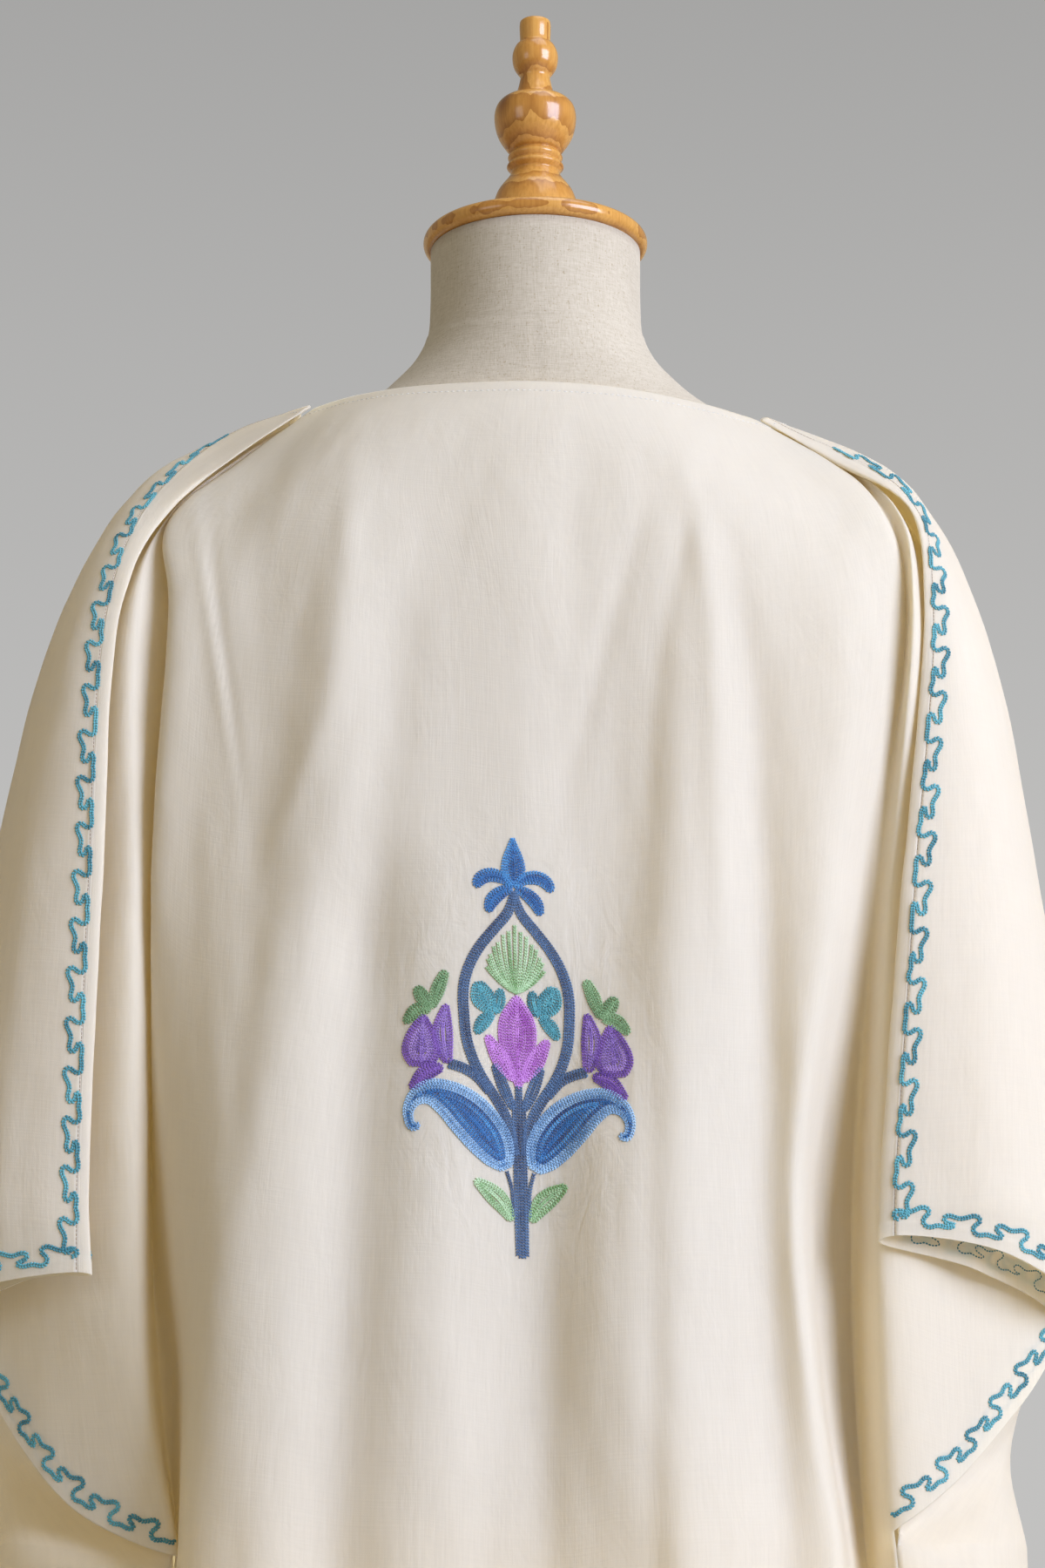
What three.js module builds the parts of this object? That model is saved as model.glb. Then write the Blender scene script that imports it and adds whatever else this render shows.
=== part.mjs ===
// A kaftan with wide kimono-cut sleeves, worn by a limbless dress form on a turned pine stand.
// Millimetres, +Z up. The origin is on the floor under the pole. The garment's back faces +Y.
import * as THREE from 'three';

// ---------- driving dimensions ----------
const CLOTH = 1.2; // thickness of the cloth wall
const SEAM_GAP = 0.8; // between two pieces at a seam
const FLOOR_GAP = 0.3; // between stacked pieces of the stand

// Heights that the fold tables below refer to.
const LEVEL = { blade: 1270, arm: 1120, cuff: 965, drop: 880, under: 803, knee: 450, hem: 100 };

const BASE = { radius: 170, height: 30, edge: 7 };
const POLE = { radius: 16, collarRadius: 27, collarHeight: 22 };
const CAP = { radius: 61, thickness: 10, bottom: 1494 };

const COLOUR = { cotton: 0xf1eadb, linen: 0xcdc3b4, pine: 0xc08a4d };

// ---------- fold tables ----------
// A row is one fold line of the hanging cloth, from the neckline down. Columns are places on it:
// x is the distance out from the centre, y is towards the back. neck, yoke, tip and end are
// [x, y, z]; the others are [x, y] at their LEVEL, or [x, y, z]. Sleeve folds stop at the cuff
// (end), body folds go on to the skirt hem.

const CENTRE_BACK = {
  neck: [0, 66, 1397], yoke: [0, 80, 1373], tip: [0, 93, 1335], blade: [0, 106], arm: [0, 121],
  cuff: [0, 135], drop: [0, 141], under: [0, 146], knee: [0, 163], hem: [0, 176],
};

const BACK_RIGHT = [
  // trough beside the centre
  { neck: [36, 62, 1396], yoke: [44, 75, 1373], tip: [56, 87, 1336], blade: [67, 99], arm: [54, 111],
    cuff: [47, 120], drop: [44, 124], under: [42, 128], knee: [40, 145], hem: [40, 156] },
  // cone fold from the shoulder blade
  { neck: [66, 52, 1394.5], yoke: [74, 67, 1373], tip: [81, 87, 1337], blade: [80, 111], arm: [84, 131],
    cuff: [84, 147], drop: [80, 152], under: [76, 156], knee: [74, 174], hem: [74, 186] },
  { neck: [91, 38, 1393.5], yoke: [100, 54, 1372], tip: [110, 79, 1334], blade: [109, 101], arm: [114, 114],
    cuff: [119, 122], drop: [121, 125], under: [122, 128], knee: [120, 145], hem: [120, 155] },
  { neck: [107, 24, 1393.5], yoke: [127, 41, 1367], tip: [149, 68, 1326], blade: [155, 93], arm: [145, 113],
    cuff: [145, 121], drop: [145, 124], under: [145, 127], knee: [150, 144], hem: [152, 158] },
  // edge of the back panel, before it dives under the sleeve
  { neck: [115.5, 15, 1393], yoke: [147, 28, 1360], tip: [172, 58, 1318], blade: [178, 84], arm: [162, 103],
    cuff: [159, 110], drop: [157, 112], under: [155, 114], knee: [172, 132], hem: [182, 144] },
  // valley between body and sleeve
  { neck: [119, 11.5, 1391.5], yoke: [155, 18, 1361.5], tip: [181, 46, 1320.5], blade: [186, 58], arm: [172, 60],
    cuff: [167, 60], drop: [167, 64], under: [168, 72], knee: [192, 110], hem: [206, 120] },
  // inner edge of the sleeve's back half; the side seam starts at its foot
  { neck: [121.5, 9, 1390.8], yoke: [158, 20, 1363], tip: [187, 50, 1325], blade: [187, 78], arm: [177, 88],
    cuff: [168, 90], drop: [172, 89], under: [171, 88, 809], knee: [206, 84], hem: [224, 76] },
  { neck: [124, 5, 1391.2], yoke: [159, 12, 1367], tip: [189, 36, 1334], blade: [205, 62], arm: [214, 71],
    cuff: [214, 76], end: [213, 74, 843] },
  // outer turn of the pleat
  { neck: [126, 0.5, 1391.8], yoke: [160, 4, 1371], tip: [190, 21, 1343], blade: [221, 32], arm: [250, 34],
    cuff: [260, 42], end: [258, 50, 901] },
  { neck: [126, 5, 1394], yoke: [161, 12, 1372], tip: [193, 38, 1340], blade: [211, 73], arm: [220, 85],
    cuff: [216, 89], end: [215, 87, 930] },
  // fold beside the top seam, down to the cuff corner
  { neck: [124.5, 10, 1394.8], yoke: [162.5, 22, 1369], tip: [194, 54, 1333], blade: [194, 89], arm: [180, 106],
    cuff: [166, 107], end: [165, 107, 945] },
];

const BACK_LEFT = [
  { neck: [36, 62, 1397.5], yoke: [46, 76, 1375], tip: [58, 87, 1336], blade: [68, 100], arm: [62, 113],
    cuff: [52, 123], drop: [50, 126], under: [50, 130], knee: [50, 147], hem: [50, 158] },
  { neck: [68, 52, 1398.5], yoke: [80, 68, 1377], tip: [92, 87, 1337], blade: [97, 111], arm: [116, 127],
    cuff: [131, 137], drop: [133, 141], under: [134, 145], knee: [138, 162], hem: [142, 174] },
  { neck: [93, 36, 1400], yoke: [106, 56, 1377], tip: [122, 80, 1335], blade: [134, 101], arm: [150, 117],
    cuff: [158, 126], drop: [158, 130], under: [154, 134], knee: [160, 150], hem: [166, 162] },
  { neck: [107, 24, 1400.5], yoke: [129, 42, 1373], tip: [150, 69, 1327], blade: [160, 96], arm: [172, 113],
    cuff: [176, 119], drop: [172, 122], under: [162, 126], knee: [172, 142], hem: [180, 154] },
  { neck: [115.5, 15, 1400], yoke: [147, 28, 1368], tip: [170, 60, 1319], blade: [180, 84], arm: [187, 93],
    cuff: [187, 95], drop: [182, 101], under: [170, 108], knee: [182, 130], hem: [192, 142] },
  { neck: [119, 11.5, 1398.5], yoke: [154, 18, 1368], tip: [178, 47, 1321], blade: [198, 56], arm: [199, 60],
    cuff: [197, 60], drop: [188, 66], under: [173, 74], knee: [196, 108], hem: [208, 118] },
  { neck: [121.5, 9, 1397.8], yoke: [157, 20, 1369.5], tip: [183, 50, 1324], blade: [201, 80], arm: [197, 92],
    cuff: [195, 97], drop: [189, 95], under: [172, 90, 797], knee: [206, 86], hem: [224, 76] },
  { neck: [124, 5, 1398.2], yoke: [158, 12, 1374], tip: [187, 36, 1335], blade: [221, 64], arm: [238, 73],
    cuff: [245, 77], end: [226, 79, 822] },
  { neck: [126, 0.5, 1398.8], yoke: [159, 4, 1378.5], tip: [190, 21, 1346], blade: [236, 33], arm: [268, 35],
    cuff: [283, 43], end: [281, 52, 908] },
  { neck: [126, 5, 1401], yoke: [160, 12, 1379], tip: [191, 38, 1340], blade: [227, 75], arm: [243, 88],
    cuff: [250, 91], end: [249, 89, 928] },
  { neck: [124.5, 10, 1401.8], yoke: [161, 21, 1375.5], tip: [191, 55, 1329], blade: [208, 90], arm: [215, 106],
    cuff: [217, 107], end: [215, 107, 929] },
];

// The top seam joins back and front: neck end, over the shoulder, down to the cuff corner.
const SEAM_RIGHT = { neck: [126.5, 7, 1396], yoke: [164, 16, 1374.5], tip: [198, 46.5, 1339],
  blade: [203, 89], arm: [190, 108.5], cuff: [176, 110], end: [175, 109.5, 947.5] };
const SEAM_LEFT = { neck: [126.5, 7, 1403], yoke: [162.5, 15, 1381.5], tip: [196, 47, 1336],
  blade: [217, 90], arm: [225, 108.5], cuff: [227, 110], end: [225, 109.5, 930] };

// Front half of the sleeve: it lies over the back half and wraps round the outside to the front.
const WING_RIGHT = [
  { neck: [128, 3, 1396.4], yoke: [164, 8, 1379], tip: [200, 32, 1347], blade: [217, 81], arm: [227, 97],
    cuff: [223, 103], end: [222, 100, 942] },
  { neck: [129, -1, 1396.4], yoke: [163, 0, 1381.8], tip: [202, 14, 1354], blade: [231, 50], arm: [254, 62],
    cuff: [264, 72], end: [262, 74, 923] },
  { neck: [129.5, -5, 1396], yoke: [162, -8, 1381.6], tip: [201.5, -3, 1356], blade: [236, 14], arm: [260, 22],
    cuff: [275, 34], end: [277, 33, 907] },
  { neck: [129.4, -8, 1395.2], yoke: [161.5, -12, 1380.6], tip: [201, -8.5, 1355.5], blade: [236, 4],
    arm: [261, 10], cuff: [277, 18], end: [264, 32, 896] },
  { neck: [129.2, -10.5, 1394.4], yoke: [161, -15.5, 1379.4], tip: [200, -14, 1354.5], blade: [235, -6],
    arm: [260, -2], cuff: [275, 2], end: [238, 51, 892] },
  { neck: [128.8, -13, 1393.4], yoke: [160.5, -19, 1378], tip: [199, -19, 1353], blade: [233, -15],
    arm: [258, -13], cuff: [271, -12], end: [214, 66, 858] },
  // the fold that sweeps back to the underarm
  { neck: [128.2, -15.5, 1392], yoke: [160, -22.5, 1376.5], tip: [197.5, -24, 1350.5], blade: [230, -24],
    arm: [254, -24], cuff: [265, -24], drop: [246, 4], under: [173, 85.5, 807] },
];

const WING_LEFT = [
  { neck: [128, 3, 1403.4], yoke: [163, 7.5, 1387], tip: [201, 32, 1346], blade: [232, 82], arm: [254, 98],
    cuff: [262, 104], end: [260, 101, 926] },
  { neck: [129, -1, 1403.4], yoke: [162.5, 0, 1390.4], tip: [206.5, 14, 1361], blade: [247, 52], arm: [276, 64],
    cuff: [291, 73], end: [291, 76, 918] },
  { neck: [129.5, -5, 1403], yoke: [162, -8, 1390.2], tip: [207.5, -3, 1364.5], blade: [251, 15], arm: [283, 24],
    cuff: [299, 34], end: [300, 34, 906] },
  { neck: [129.4, -8, 1402.2], yoke: [161.5, -12, 1389], tip: [207, -8.5, 1364], blade: [251, 5], arm: [284, 11],
    cuff: [300, 18], end: [286, 32, 901] },
  { neck: [129.2, -10.5, 1401.4], yoke: [161, -15.5, 1387.6], tip: [206, -14, 1362.5], blade: [250, -5],
    arm: [283, -1], cuff: [298, 2], end: [260, 52, 897] },
  { neck: [128.8, -13, 1400.4], yoke: [160.5, -19, 1386], tip: [204.5, -19, 1360.5], blade: [248, -15],
    arm: [281, -12], cuff: [294, -12], end: [226, 69, 848] },
  { neck: [128.2, -15.5, 1399], yoke: [160, -22.5, 1384], tip: [202.5, -24, 1358], blade: [245, -24],
    arm: [277, -24], cuff: [288, -24], drop: [276, 6], under: [174.5, 87, 796] },
];

// Front body folds, from beside the side seam to the centre front. Both sides share them; the left
// side reaches further out by LEFT_REACH at each place.
const FRONT = [
  { neck: [126.5, -21, 1388.5], yoke: [157, -29, 1371.5], tip: [193.5, -33, 1345], blade: [226, -36],
    arm: [248, -40], cuff: [258, -42], drop: [247, -20], under: [218, 62], knee: [236, 48], hem: [254, 36] },
  { neck: [123.5, -28, 1385], yoke: [152, -38, 1366], tip: [186, -45, 1338], blade: [216, -54], arm: [236, -62],
    cuff: [243, -66], drop: [237, -50], under: [244, 10], knee: [250, -4], hem: [264, -14] },
  { neck: [116.5, -39, 1380], yoke: [142, -51, 1356], tip: [172, -63, 1327], blade: [196, -78], arm: [210, -90],
    cuff: [216, -94], drop: [212, -88], under: [216, -62], knee: [226, -74], hem: [234, -90] },
  { neck: [100, -54, 1370], yoke: [120, -69, 1341], tip: [140, -85, 1313], blade: [152, -104], arm: [160, -124],
    cuff: [164, -132], drop: [165, -131], under: [168, -126], knee: [170, -146], hem: [174, -162] },
  { neck: [72, -69, 1359], yoke: [84, -83, 1330], tip: [94, -97, 1304], blade: [100, -108], arm: [104, -113],
    cuff: [107, -119], drop: [108, -121], under: [110, -123], knee: [112, -133], hem: [114, -142] },
  { neck: [38, -79, 1351], yoke: [46, -91, 1323], tip: [52, -104, 1299], blade: [56, -120], arm: [58, -136],
    cuff: [60, -146], drop: [61, -149], under: [62, -152], knee: [64, -168], hem: [66, -180] },
];
const CENTRE_FRONT = {
  neck: [0, -82, 1348], yoke: [0, -93, 1321], tip: [0, -104, 1297], blade: [0, -115], arm: [0, -124],
  cuff: [0, -132], drop: [0, -136], under: [0, -139], knee: [0, -152], hem: [0, -162],
};
const LEFT_REACH = { neck: 0, yoke: 0, tip: 5, blade: 14, arm: 23, cuff: 24, drop: 32, under: 34, knee: 14, hem: 4 };
const LEFT_LIFT = { neck: 7, yoke: 7.5, tip: 7.5 }; // the left shoulder sits this much higher
const FADE = { from: 30, to: 130 }; // reach and lift fade in between these distances from the centre

// Mesh rows from each place of a fold to the next, and strips from each fold to the next.
const UPPER_ROWS = [2, 2, 2, 2, 2, 2, 2];
const SKIRT_ROWS = [3, 2];
const CUFF_ROW = UPPER_ROWS.reduce((sum, rows) => sum + rows);
const STRIPS = 2;

// ---------- the cloth as rings of points ----------
const SLEEVE_PLACES = ['neck', 'yoke', 'tip', 'blade', 'arm', 'cuff'];
const SKIRT_PLACES = ['under', 'knee', 'hem'];

function point({ row, side }, place) {
  const [x, y, z = LEVEL[place]] = row[place];
  return new THREE.Vector3(side * x, y, z);
}

// Points on a smooth line through the given ones, with rows[span] steps from each to the next.
function sampled(points, rows) {
  const curve = new THREE.CatmullRomCurve3(points, false, 'centripetal');
  const line = [points[0]];
  rows.forEach((count, span) => {
    for (let step = 1; step <= count; step += 1) {
      line.push(curve.getPoint((span + step / count) / rows.length));
    }
  });
  return line;
}

// A fold from the neck to the cuff or the underarm. A sleeve fold drops straight to its end.
function upperLine(fold) {
  const points = SLEEVE_PLACES.map((place) => point(fold, place));
  if (fold.row.end) {
    const end = point(fold, 'end');
    points.push(points.at(-1).clone().lerp(end, 0.5), end);
  } else {
    points.push(point(fold, 'drop'), point(fold, 'under'));
  }
  return sampled(points, UPPER_ROWS);
}

function skirtLine(fold) {
  return sampled(SKIRT_PLACES.map((place) => point(fold, place)), SKIRT_ROWS);
}

// A mesh row: one smooth closed line round the garment through all its folds.
function ringRow(points) {
  const curve = new THREE.CatmullRomCurve3(points, true, 'centripetal');
  const count = points.length * STRIPS;
  return Array.from({ length: count }, (_, index) => curve.getPoint(index / count));
}

function leftFront(row) {
  const moved = {};
  for (const place of Object.keys(LEFT_REACH)) {
    const [x, y, z = LEVEL[place]] = row[place];
    const share = THREE.MathUtils.smoothstep(x, FADE.from, FADE.to);
    moved[place] = [x + LEFT_REACH[place] * share, y, z + (LEFT_LIFT[place] ?? 0) * share];
  }
  return moved;
}

// The folds in order round the garment: from the left top seam over the back to the right top seam,
// then over the front, back to the left one. The right side is at -x.
function foldsInOrder() {
  const onSide = (rows, side) => rows.map((row) => ({ row, side }));
  const frontLeft = FRONT.map(leftFront);
  return {
    back: [
      ...onSide([SEAM_LEFT, ...BACK_LEFT.toReversed()], 1),
      ...onSide([CENTRE_BACK, ...BACK_RIGHT, SEAM_RIGHT], -1),
    ],
    front: [
      ...onSide([...WING_RIGHT, ...FRONT, CENTRE_FRONT], -1),
      ...onSide([...frontLeft.toReversed(), ...WING_LEFT.toReversed()], 1),
    ],
  };
}

// The back's and the front's grids of points. Rows down to the cuff and the underarm span whole
// panels. The skirt's rows span the body folds alone, and are null outside the side seams.
function panelGrids() {
  const { back, front } = foldsInOrder();
  const ring = [...back, ...front];
  const seam = (back.length - 1) * STRIPS;
  const grids = { back: [], front: [] };
  const upper = ring.map(upperLine);
  upper[0].forEach((_, level) => {
    const row = ringRow(upper.map((line) => line[level]));
    grids.back.push(row.slice(0, seam + 1));
    grids.front.push([...row.slice(seam), row[0]].map((vertex) => vertex.clone()));
  });

  const isBody = ({ row }) => row.hem;
  const backBody = back.filter(isBody);
  const skirt = [...backBody, ...front.filter(isBody)].map(skirtLine);
  const sides = (backBody.length - 1) * STRIPS;
  const padded = (row, width) => {
    const blank = new Array((width - row.length) / 2).fill(null);
    return [...blank, ...row, ...blank];
  };
  skirt[0].slice(1).forEach((_, level) => {
    const row = ringRow(skirt.map((line) => line[level + 1]));
    grids.back.push(padded(row.slice(0, sides + 1), grids.back[0].length));
    const frontRow = [...row.slice(sides), row[0]].map((vertex) => vertex.clone());
    grids.front.push(padded(frontRow, grids.front[0].length));
  });
  return grids;
}

function quadCorners(grid, level, column) {
  const corners = [grid[level]?.[column], grid[level]?.[column + 1],
    grid[level + 1]?.[column + 1], grid[level + 1]?.[column]];
  return corners.every((corner) => corner) ? corners : null;
}

// Normals that agree where the two panels meet.
function panelNormals(grids) {
  const sums = new Map();
  const keyOf = (vertex) => vertex.toArray().map((value) => value.toFixed(2)).join();
  for (const grid of grids) {
    for (let level = 0; level < grid.length - 1; level += 1) {
      for (let column = 0; column < grid[0].length - 1; column += 1) {
        const corners = quadCorners(grid, level, column);
        if (!corners) continue;
        const down = corners[3].clone().sub(corners[1]);
        const across = corners[2].clone().sub(corners[0]);
        const normal = down.cross(across).normalize();
        for (const corner of corners) {
          const key = keyOf(corner);
          sums.set(key, (sums.get(key) ?? new THREE.Vector3()).add(normal));
        }
      }
    }
  }
  return grids.map((grid) => grid.map((row) => row.map((vertex) => (
    vertex && sums.get(keyOf(vertex)).clone().normalize()))));
}

// Draws each row's two ends in by half the seam gap, so that the panels don't touch, and the
// underarm corners by a whole one.
function openSeams(grid) {
  const corners = [grid.at(-1).findIndex((vertex) => vertex), grid.at(-1).findLastIndex((vertex) => vertex)];
  grid.forEach((row, level) => {
    const first = row.findIndex((vertex) => vertex);
    const last = row.findLastIndex((vertex) => vertex);
    for (const [end, next] of [[first, first + 1], [last, last - 1]]) {
      row[end].add(row[next].clone().sub(row[end]).setLength(SEAM_GAP / 2));
    }
    if (level === CUFF_ROW) {
      for (const [corner, next] of [[corners[0], corners[0] + 1], [corners[1], corners[1] - 1]]) {
        row[corner].add(row[next].clone().sub(row[corner]).setLength(2 * SEAM_GAP));
      }
    }
  });
}

// ---------- solids ----------
// A wall of cloth on a grid of points and their outward normals.
function clothGeometry(grid, normals) {
  const columns = grid[0].length;
  const positions = [];
  grid.forEach((row, level) => row.forEach((vertex, column) => {
    const middle = vertex ?? new THREE.Vector3();
    const half = (normals[level][column] ?? new THREE.Vector3()).clone().multiplyScalar(CLOTH / 2);
    positions.push(...middle.clone().add(half).toArray(), ...middle.clone().sub(half).toArray());
  }));
  const faces = [];
  const addQuad = (a, b, c, d) => faces.push(a, c, b, a, d, c);
  for (let level = 0; level < grid.length - 1; level += 1) {
    for (let column = 0; column < columns - 1; column += 1) {
      if (!quadCorners(grid, level, column)) continue;
      const ring = [[level, column], [level, column + 1], [level + 1, column + 1], [level + 1, column]];
      const outer = ring.map(([row, place]) => 2 * (row * columns + place));
      const inner = outer.map((index) => index + 1);
      addQuad(...outer);
      addQuad(...inner.toReversed());
      const neighbours = [[level - 1, column], [level, column + 1], [level + 1, column], [level, column - 1]];
      neighbours.forEach(([row, place], edge) => {
        if (quadCorners(grid, row, place)) return;
        const next = (edge + 1) % 4;
        addQuad(inner[edge], inner[next], outer[next], outer[edge]);
      });
    }
  }
  const geometry = new THREE.BufferGeometry();
  geometry.setAttribute('position', new THREE.Float32BufferAttribute(positions, 3));
  geometry.setIndex(faces);
  return geometry;
}

function kaftanPanels() {
  const { back, front } = panelGrids();
  const [backNormals, frontNormals] = panelNormals([back, front]);
  openSeams(back);
  openSeams(front);
  return { back: clothGeometry(back, backNormals), front: clothGeometry(front, frontNormals) };
}

// ---------- dress form ----------
// One row per ring of the torso: height, half width, depth to the back and to the front.
const TORSO = [
  [790, 176, 106, 102], [800, 181, 110, 105], [860, 182, 112, 108], [920, 174, 106, 108],
  [990, 156, 92, 102], [1060, 142, 80, 96], [1120, 150, 86, 102], [1200, 168, 95, 108],
  [1270, 180, 93, 100], [1310, 183, 85, 88], [1338, 176, 78, 78], [1354, 164.5, 73, 71],
  [1368, 148, 68.5, 67], [1380, 130, 65, 64], [1390, 114, 62.5, 62], [1399, 99, 61, 61],
  [1408, 86, 59.5, 59.5], [1417, 76, 59, 59], [1426, 67.5, 58.5, 58.5], [1436, 61.5, 58, 58],
  [1446, 58, 57.5, 57.5], [1460, 57, 57, 57], [1493.7, 57, 57, 57],
];
const TORSO_SIDES = 32;

function loftGeometry(rings, sides) {
  const positions = [];
  for (const [height, halfWidth, back, front] of rings) {
    for (let side = 0; side < sides; side += 1) {
      const angle = (2 * Math.PI * side) / sides;
      const depth = Math.sin(angle) > 0 ? back : front;
      positions.push(halfWidth * Math.cos(angle), depth * Math.sin(angle), height);
    }
  }
  const bottom = positions.length / 3;
  positions.push(0, 0, rings[0][0], 0, 0, rings.at(-1)[0]);
  const faces = [];
  for (let side = 0; side < sides; side += 1) {
    const next = (side + 1) % sides;
    for (let ring = 0; ring < rings.length - 1; ring += 1) {
      const low = ring * sides;
      const high = low + sides;
      faces.push(low + side, low + next, high + next, low + side, high + next, high + side);
    }
    const top = (rings.length - 1) * sides;
    faces.push(bottom, next, side, bottom + 1, top + side, top + next);
  }
  const geometry = new THREE.BufferGeometry();
  geometry.setAttribute('position', new THREE.Float32BufferAttribute(positions, 3));
  geometry.setIndex(faces);
  return geometry;
}

// Turned pieces: a closed profile of [radius, height] rows, spun about the upright axis.
function turned(profile, sides) {
  const points = profile.map(([radius, height]) => new THREE.Vector2(radius, height));
  return new THREE.LatheGeometry(points, sides).rotateX(Math.PI / 2);
}

function capProfile() {
  const { radius, thickness, bottom } = CAP;
  return [
    [0, bottom], [radius - 3.5, bottom], [radius - 0.8, bottom + 2], [radius, bottom + thickness / 2],
    [radius - 0.8, bottom + thickness - 2], [radius - 3.5, bottom + thickness], [0, bottom + thickness],
  ];
}

// Finial: [radius, height above the cap], from its foot to the top knob.
const FINIAL = [
  [24, 0], [25, 4], [24.5, 11], [23, 18], [20.7, 24.8], [18.1, 28.8], [15, 32.8], [13.2, 36.6],
  [14.3, 38.1], [15.6, 39.7], [14.9, 41.3], [13.6, 42.3], [14.2, 43.3], [15, 45.3], [14, 47.1], [13, 48.1],
  [14.8, 49.3], [16.8, 51.9], [19.8, 56.7], [21.6, 61.7], [22.5, 68.3], [22, 72.9], [20.6, 76.1], [17.5, 78.9],
  [12, 80.1], [10.8, 81.3], [9.8, 84.8], [8.6, 89.8], [8.2, 93.3], [9.4, 94.9], [11.7, 98.7], [12.6, 103.7],
  [12.2, 107.7], [10.4, 111.7], [8.6, 113.3], [8.4, 113.9], [8.4, 125.5], [7.6, 126.3],
];

function finialProfile() {
  const foot = CAP.bottom + CAP.thickness + FLOOR_GAP;
  const side = FINIAL.map(([radius, height]) => [radius, foot + height]);
  return [[0, foot], ...side, [0, side.at(-1)[1]]];
}

function baseProfile() {
  const { radius, height, edge } = BASE;
  return [
    [0, 0], [radius - edge, 0], [radius, edge], [radius, height / 2], [radius - edge, height / 2 + edge],
    [radius / 2, height - edge / 2], [POLE.collarRadius + edge, height], [0, height],
  ];
}

function poleProfile() {
  const foot = BASE.height + FLOOR_GAP;
  const top = TORSO[0][0] - FLOOR_GAP;
  return [
    [0, foot], [POLE.collarRadius, foot], [POLE.collarRadius, foot + POLE.collarHeight / 2],
    [POLE.radius, foot + POLE.collarHeight], [POLE.radius, top - POLE.collarHeight],
    [POLE.collarRadius, top - POLE.collarHeight / 2], [POLE.collarRadius, top], [0, top],
  ];
}

// ---------- assembly ----------
function material(colour, roughness) {
  return new THREE.MeshStandardMaterial({ color: colour, roughness, metalness: 0 });
}

const cotton = material(COLOUR.cotton, 0.9);
const linen = material(COLOUR.linen, 0.95);
const pine = material(COLOUR.pine, 0.35);

const panels = kaftanPanels();

const PIECES = [
  ['kaftan_back', panels.back, cotton],
  ['kaftan_front', panels.front, cotton],
  ['form_torso', loftGeometry(TORSO, TORSO_SIDES), linen],
  ['form_neck_cap', turned(capProfile(), 48), pine],
  ['form_finial', turned(finialProfile(), 32), pine],
  ['form_pole', turned(poleProfile(), 24), pine],
  ['form_base', turned(baseProfile(), 64), pine],
];

const kaftanOnDressForm = new THREE.Group();
for (const [name, geometry, finish] of PIECES) {
  const mesh = new THREE.Mesh(geometry, finish);
  mesh.name = name;
  kaftanOnDressForm.add(mesh);
}

export default kaftanOnDressForm;
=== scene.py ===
"""Looks of a kaftan on its dress form: folded cloth, chain-stitch embroidery, linen and turned pine."""
import math
import random

import bpy
import numpy as np
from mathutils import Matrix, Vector, noise
from mathutils.bvhtree import BVHTree


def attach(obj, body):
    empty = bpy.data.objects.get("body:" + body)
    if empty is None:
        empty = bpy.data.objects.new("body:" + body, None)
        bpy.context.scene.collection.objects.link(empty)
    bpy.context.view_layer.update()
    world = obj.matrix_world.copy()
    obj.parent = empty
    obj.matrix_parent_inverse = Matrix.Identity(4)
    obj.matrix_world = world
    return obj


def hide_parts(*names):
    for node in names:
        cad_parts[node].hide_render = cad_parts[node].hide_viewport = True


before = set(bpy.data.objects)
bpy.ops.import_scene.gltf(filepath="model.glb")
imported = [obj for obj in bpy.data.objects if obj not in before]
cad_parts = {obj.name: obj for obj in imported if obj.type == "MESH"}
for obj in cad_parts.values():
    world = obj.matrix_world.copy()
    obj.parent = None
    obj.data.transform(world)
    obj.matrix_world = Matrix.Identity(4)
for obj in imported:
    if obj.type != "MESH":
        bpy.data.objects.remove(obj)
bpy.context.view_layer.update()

MM = 0.001  # the tables below are in millimetres, as the part's source is

# ---------- fold tables: those of the part's source, with deeper folds on the back ----------
# Heights of the places from the shoulder blades down.
LEVEL = dict(blade=1270, arm=1120, cuff=965, drop=880, under=803, knee=450, hem=100)

PLACES = ["neck", "yoke", "tip", "blade", "arm", "cuff", "drop", "under", "knee", "hem"]
TO_CUFF = PLACES[:6]
SKIRT = PLACES[-3:]

# A row is one fold line of the hanging cloth, from the neckline down. A column is a place on it: x is the
# distance out from the centre, y is towards the back. The first three places and a sleeve's end are
# (x, y, z), and the others (x, y) at their LEVEL, or (x, y, z).


def body(*spots):
    """A fold of the body, or one that sweeps to the underarm. Its columns are the PLACES it reaches."""
    return dict(zip(PLACES, spots))


def sleeve(*spots):
    """A fold that stops at the sleeve's hem. Its columns are the PLACES down to the cuff, and the end."""
    return dict(zip([*TO_CUFF, "end"], spots))


CENTRE_BACK = body((0, 66, 1397), (0, 80, 1373), (0, 93, 1335), (0, 107), (6, 118), (3, 120), (2, 124),
    (1, 133), (0, 160), (0, 174))

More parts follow.
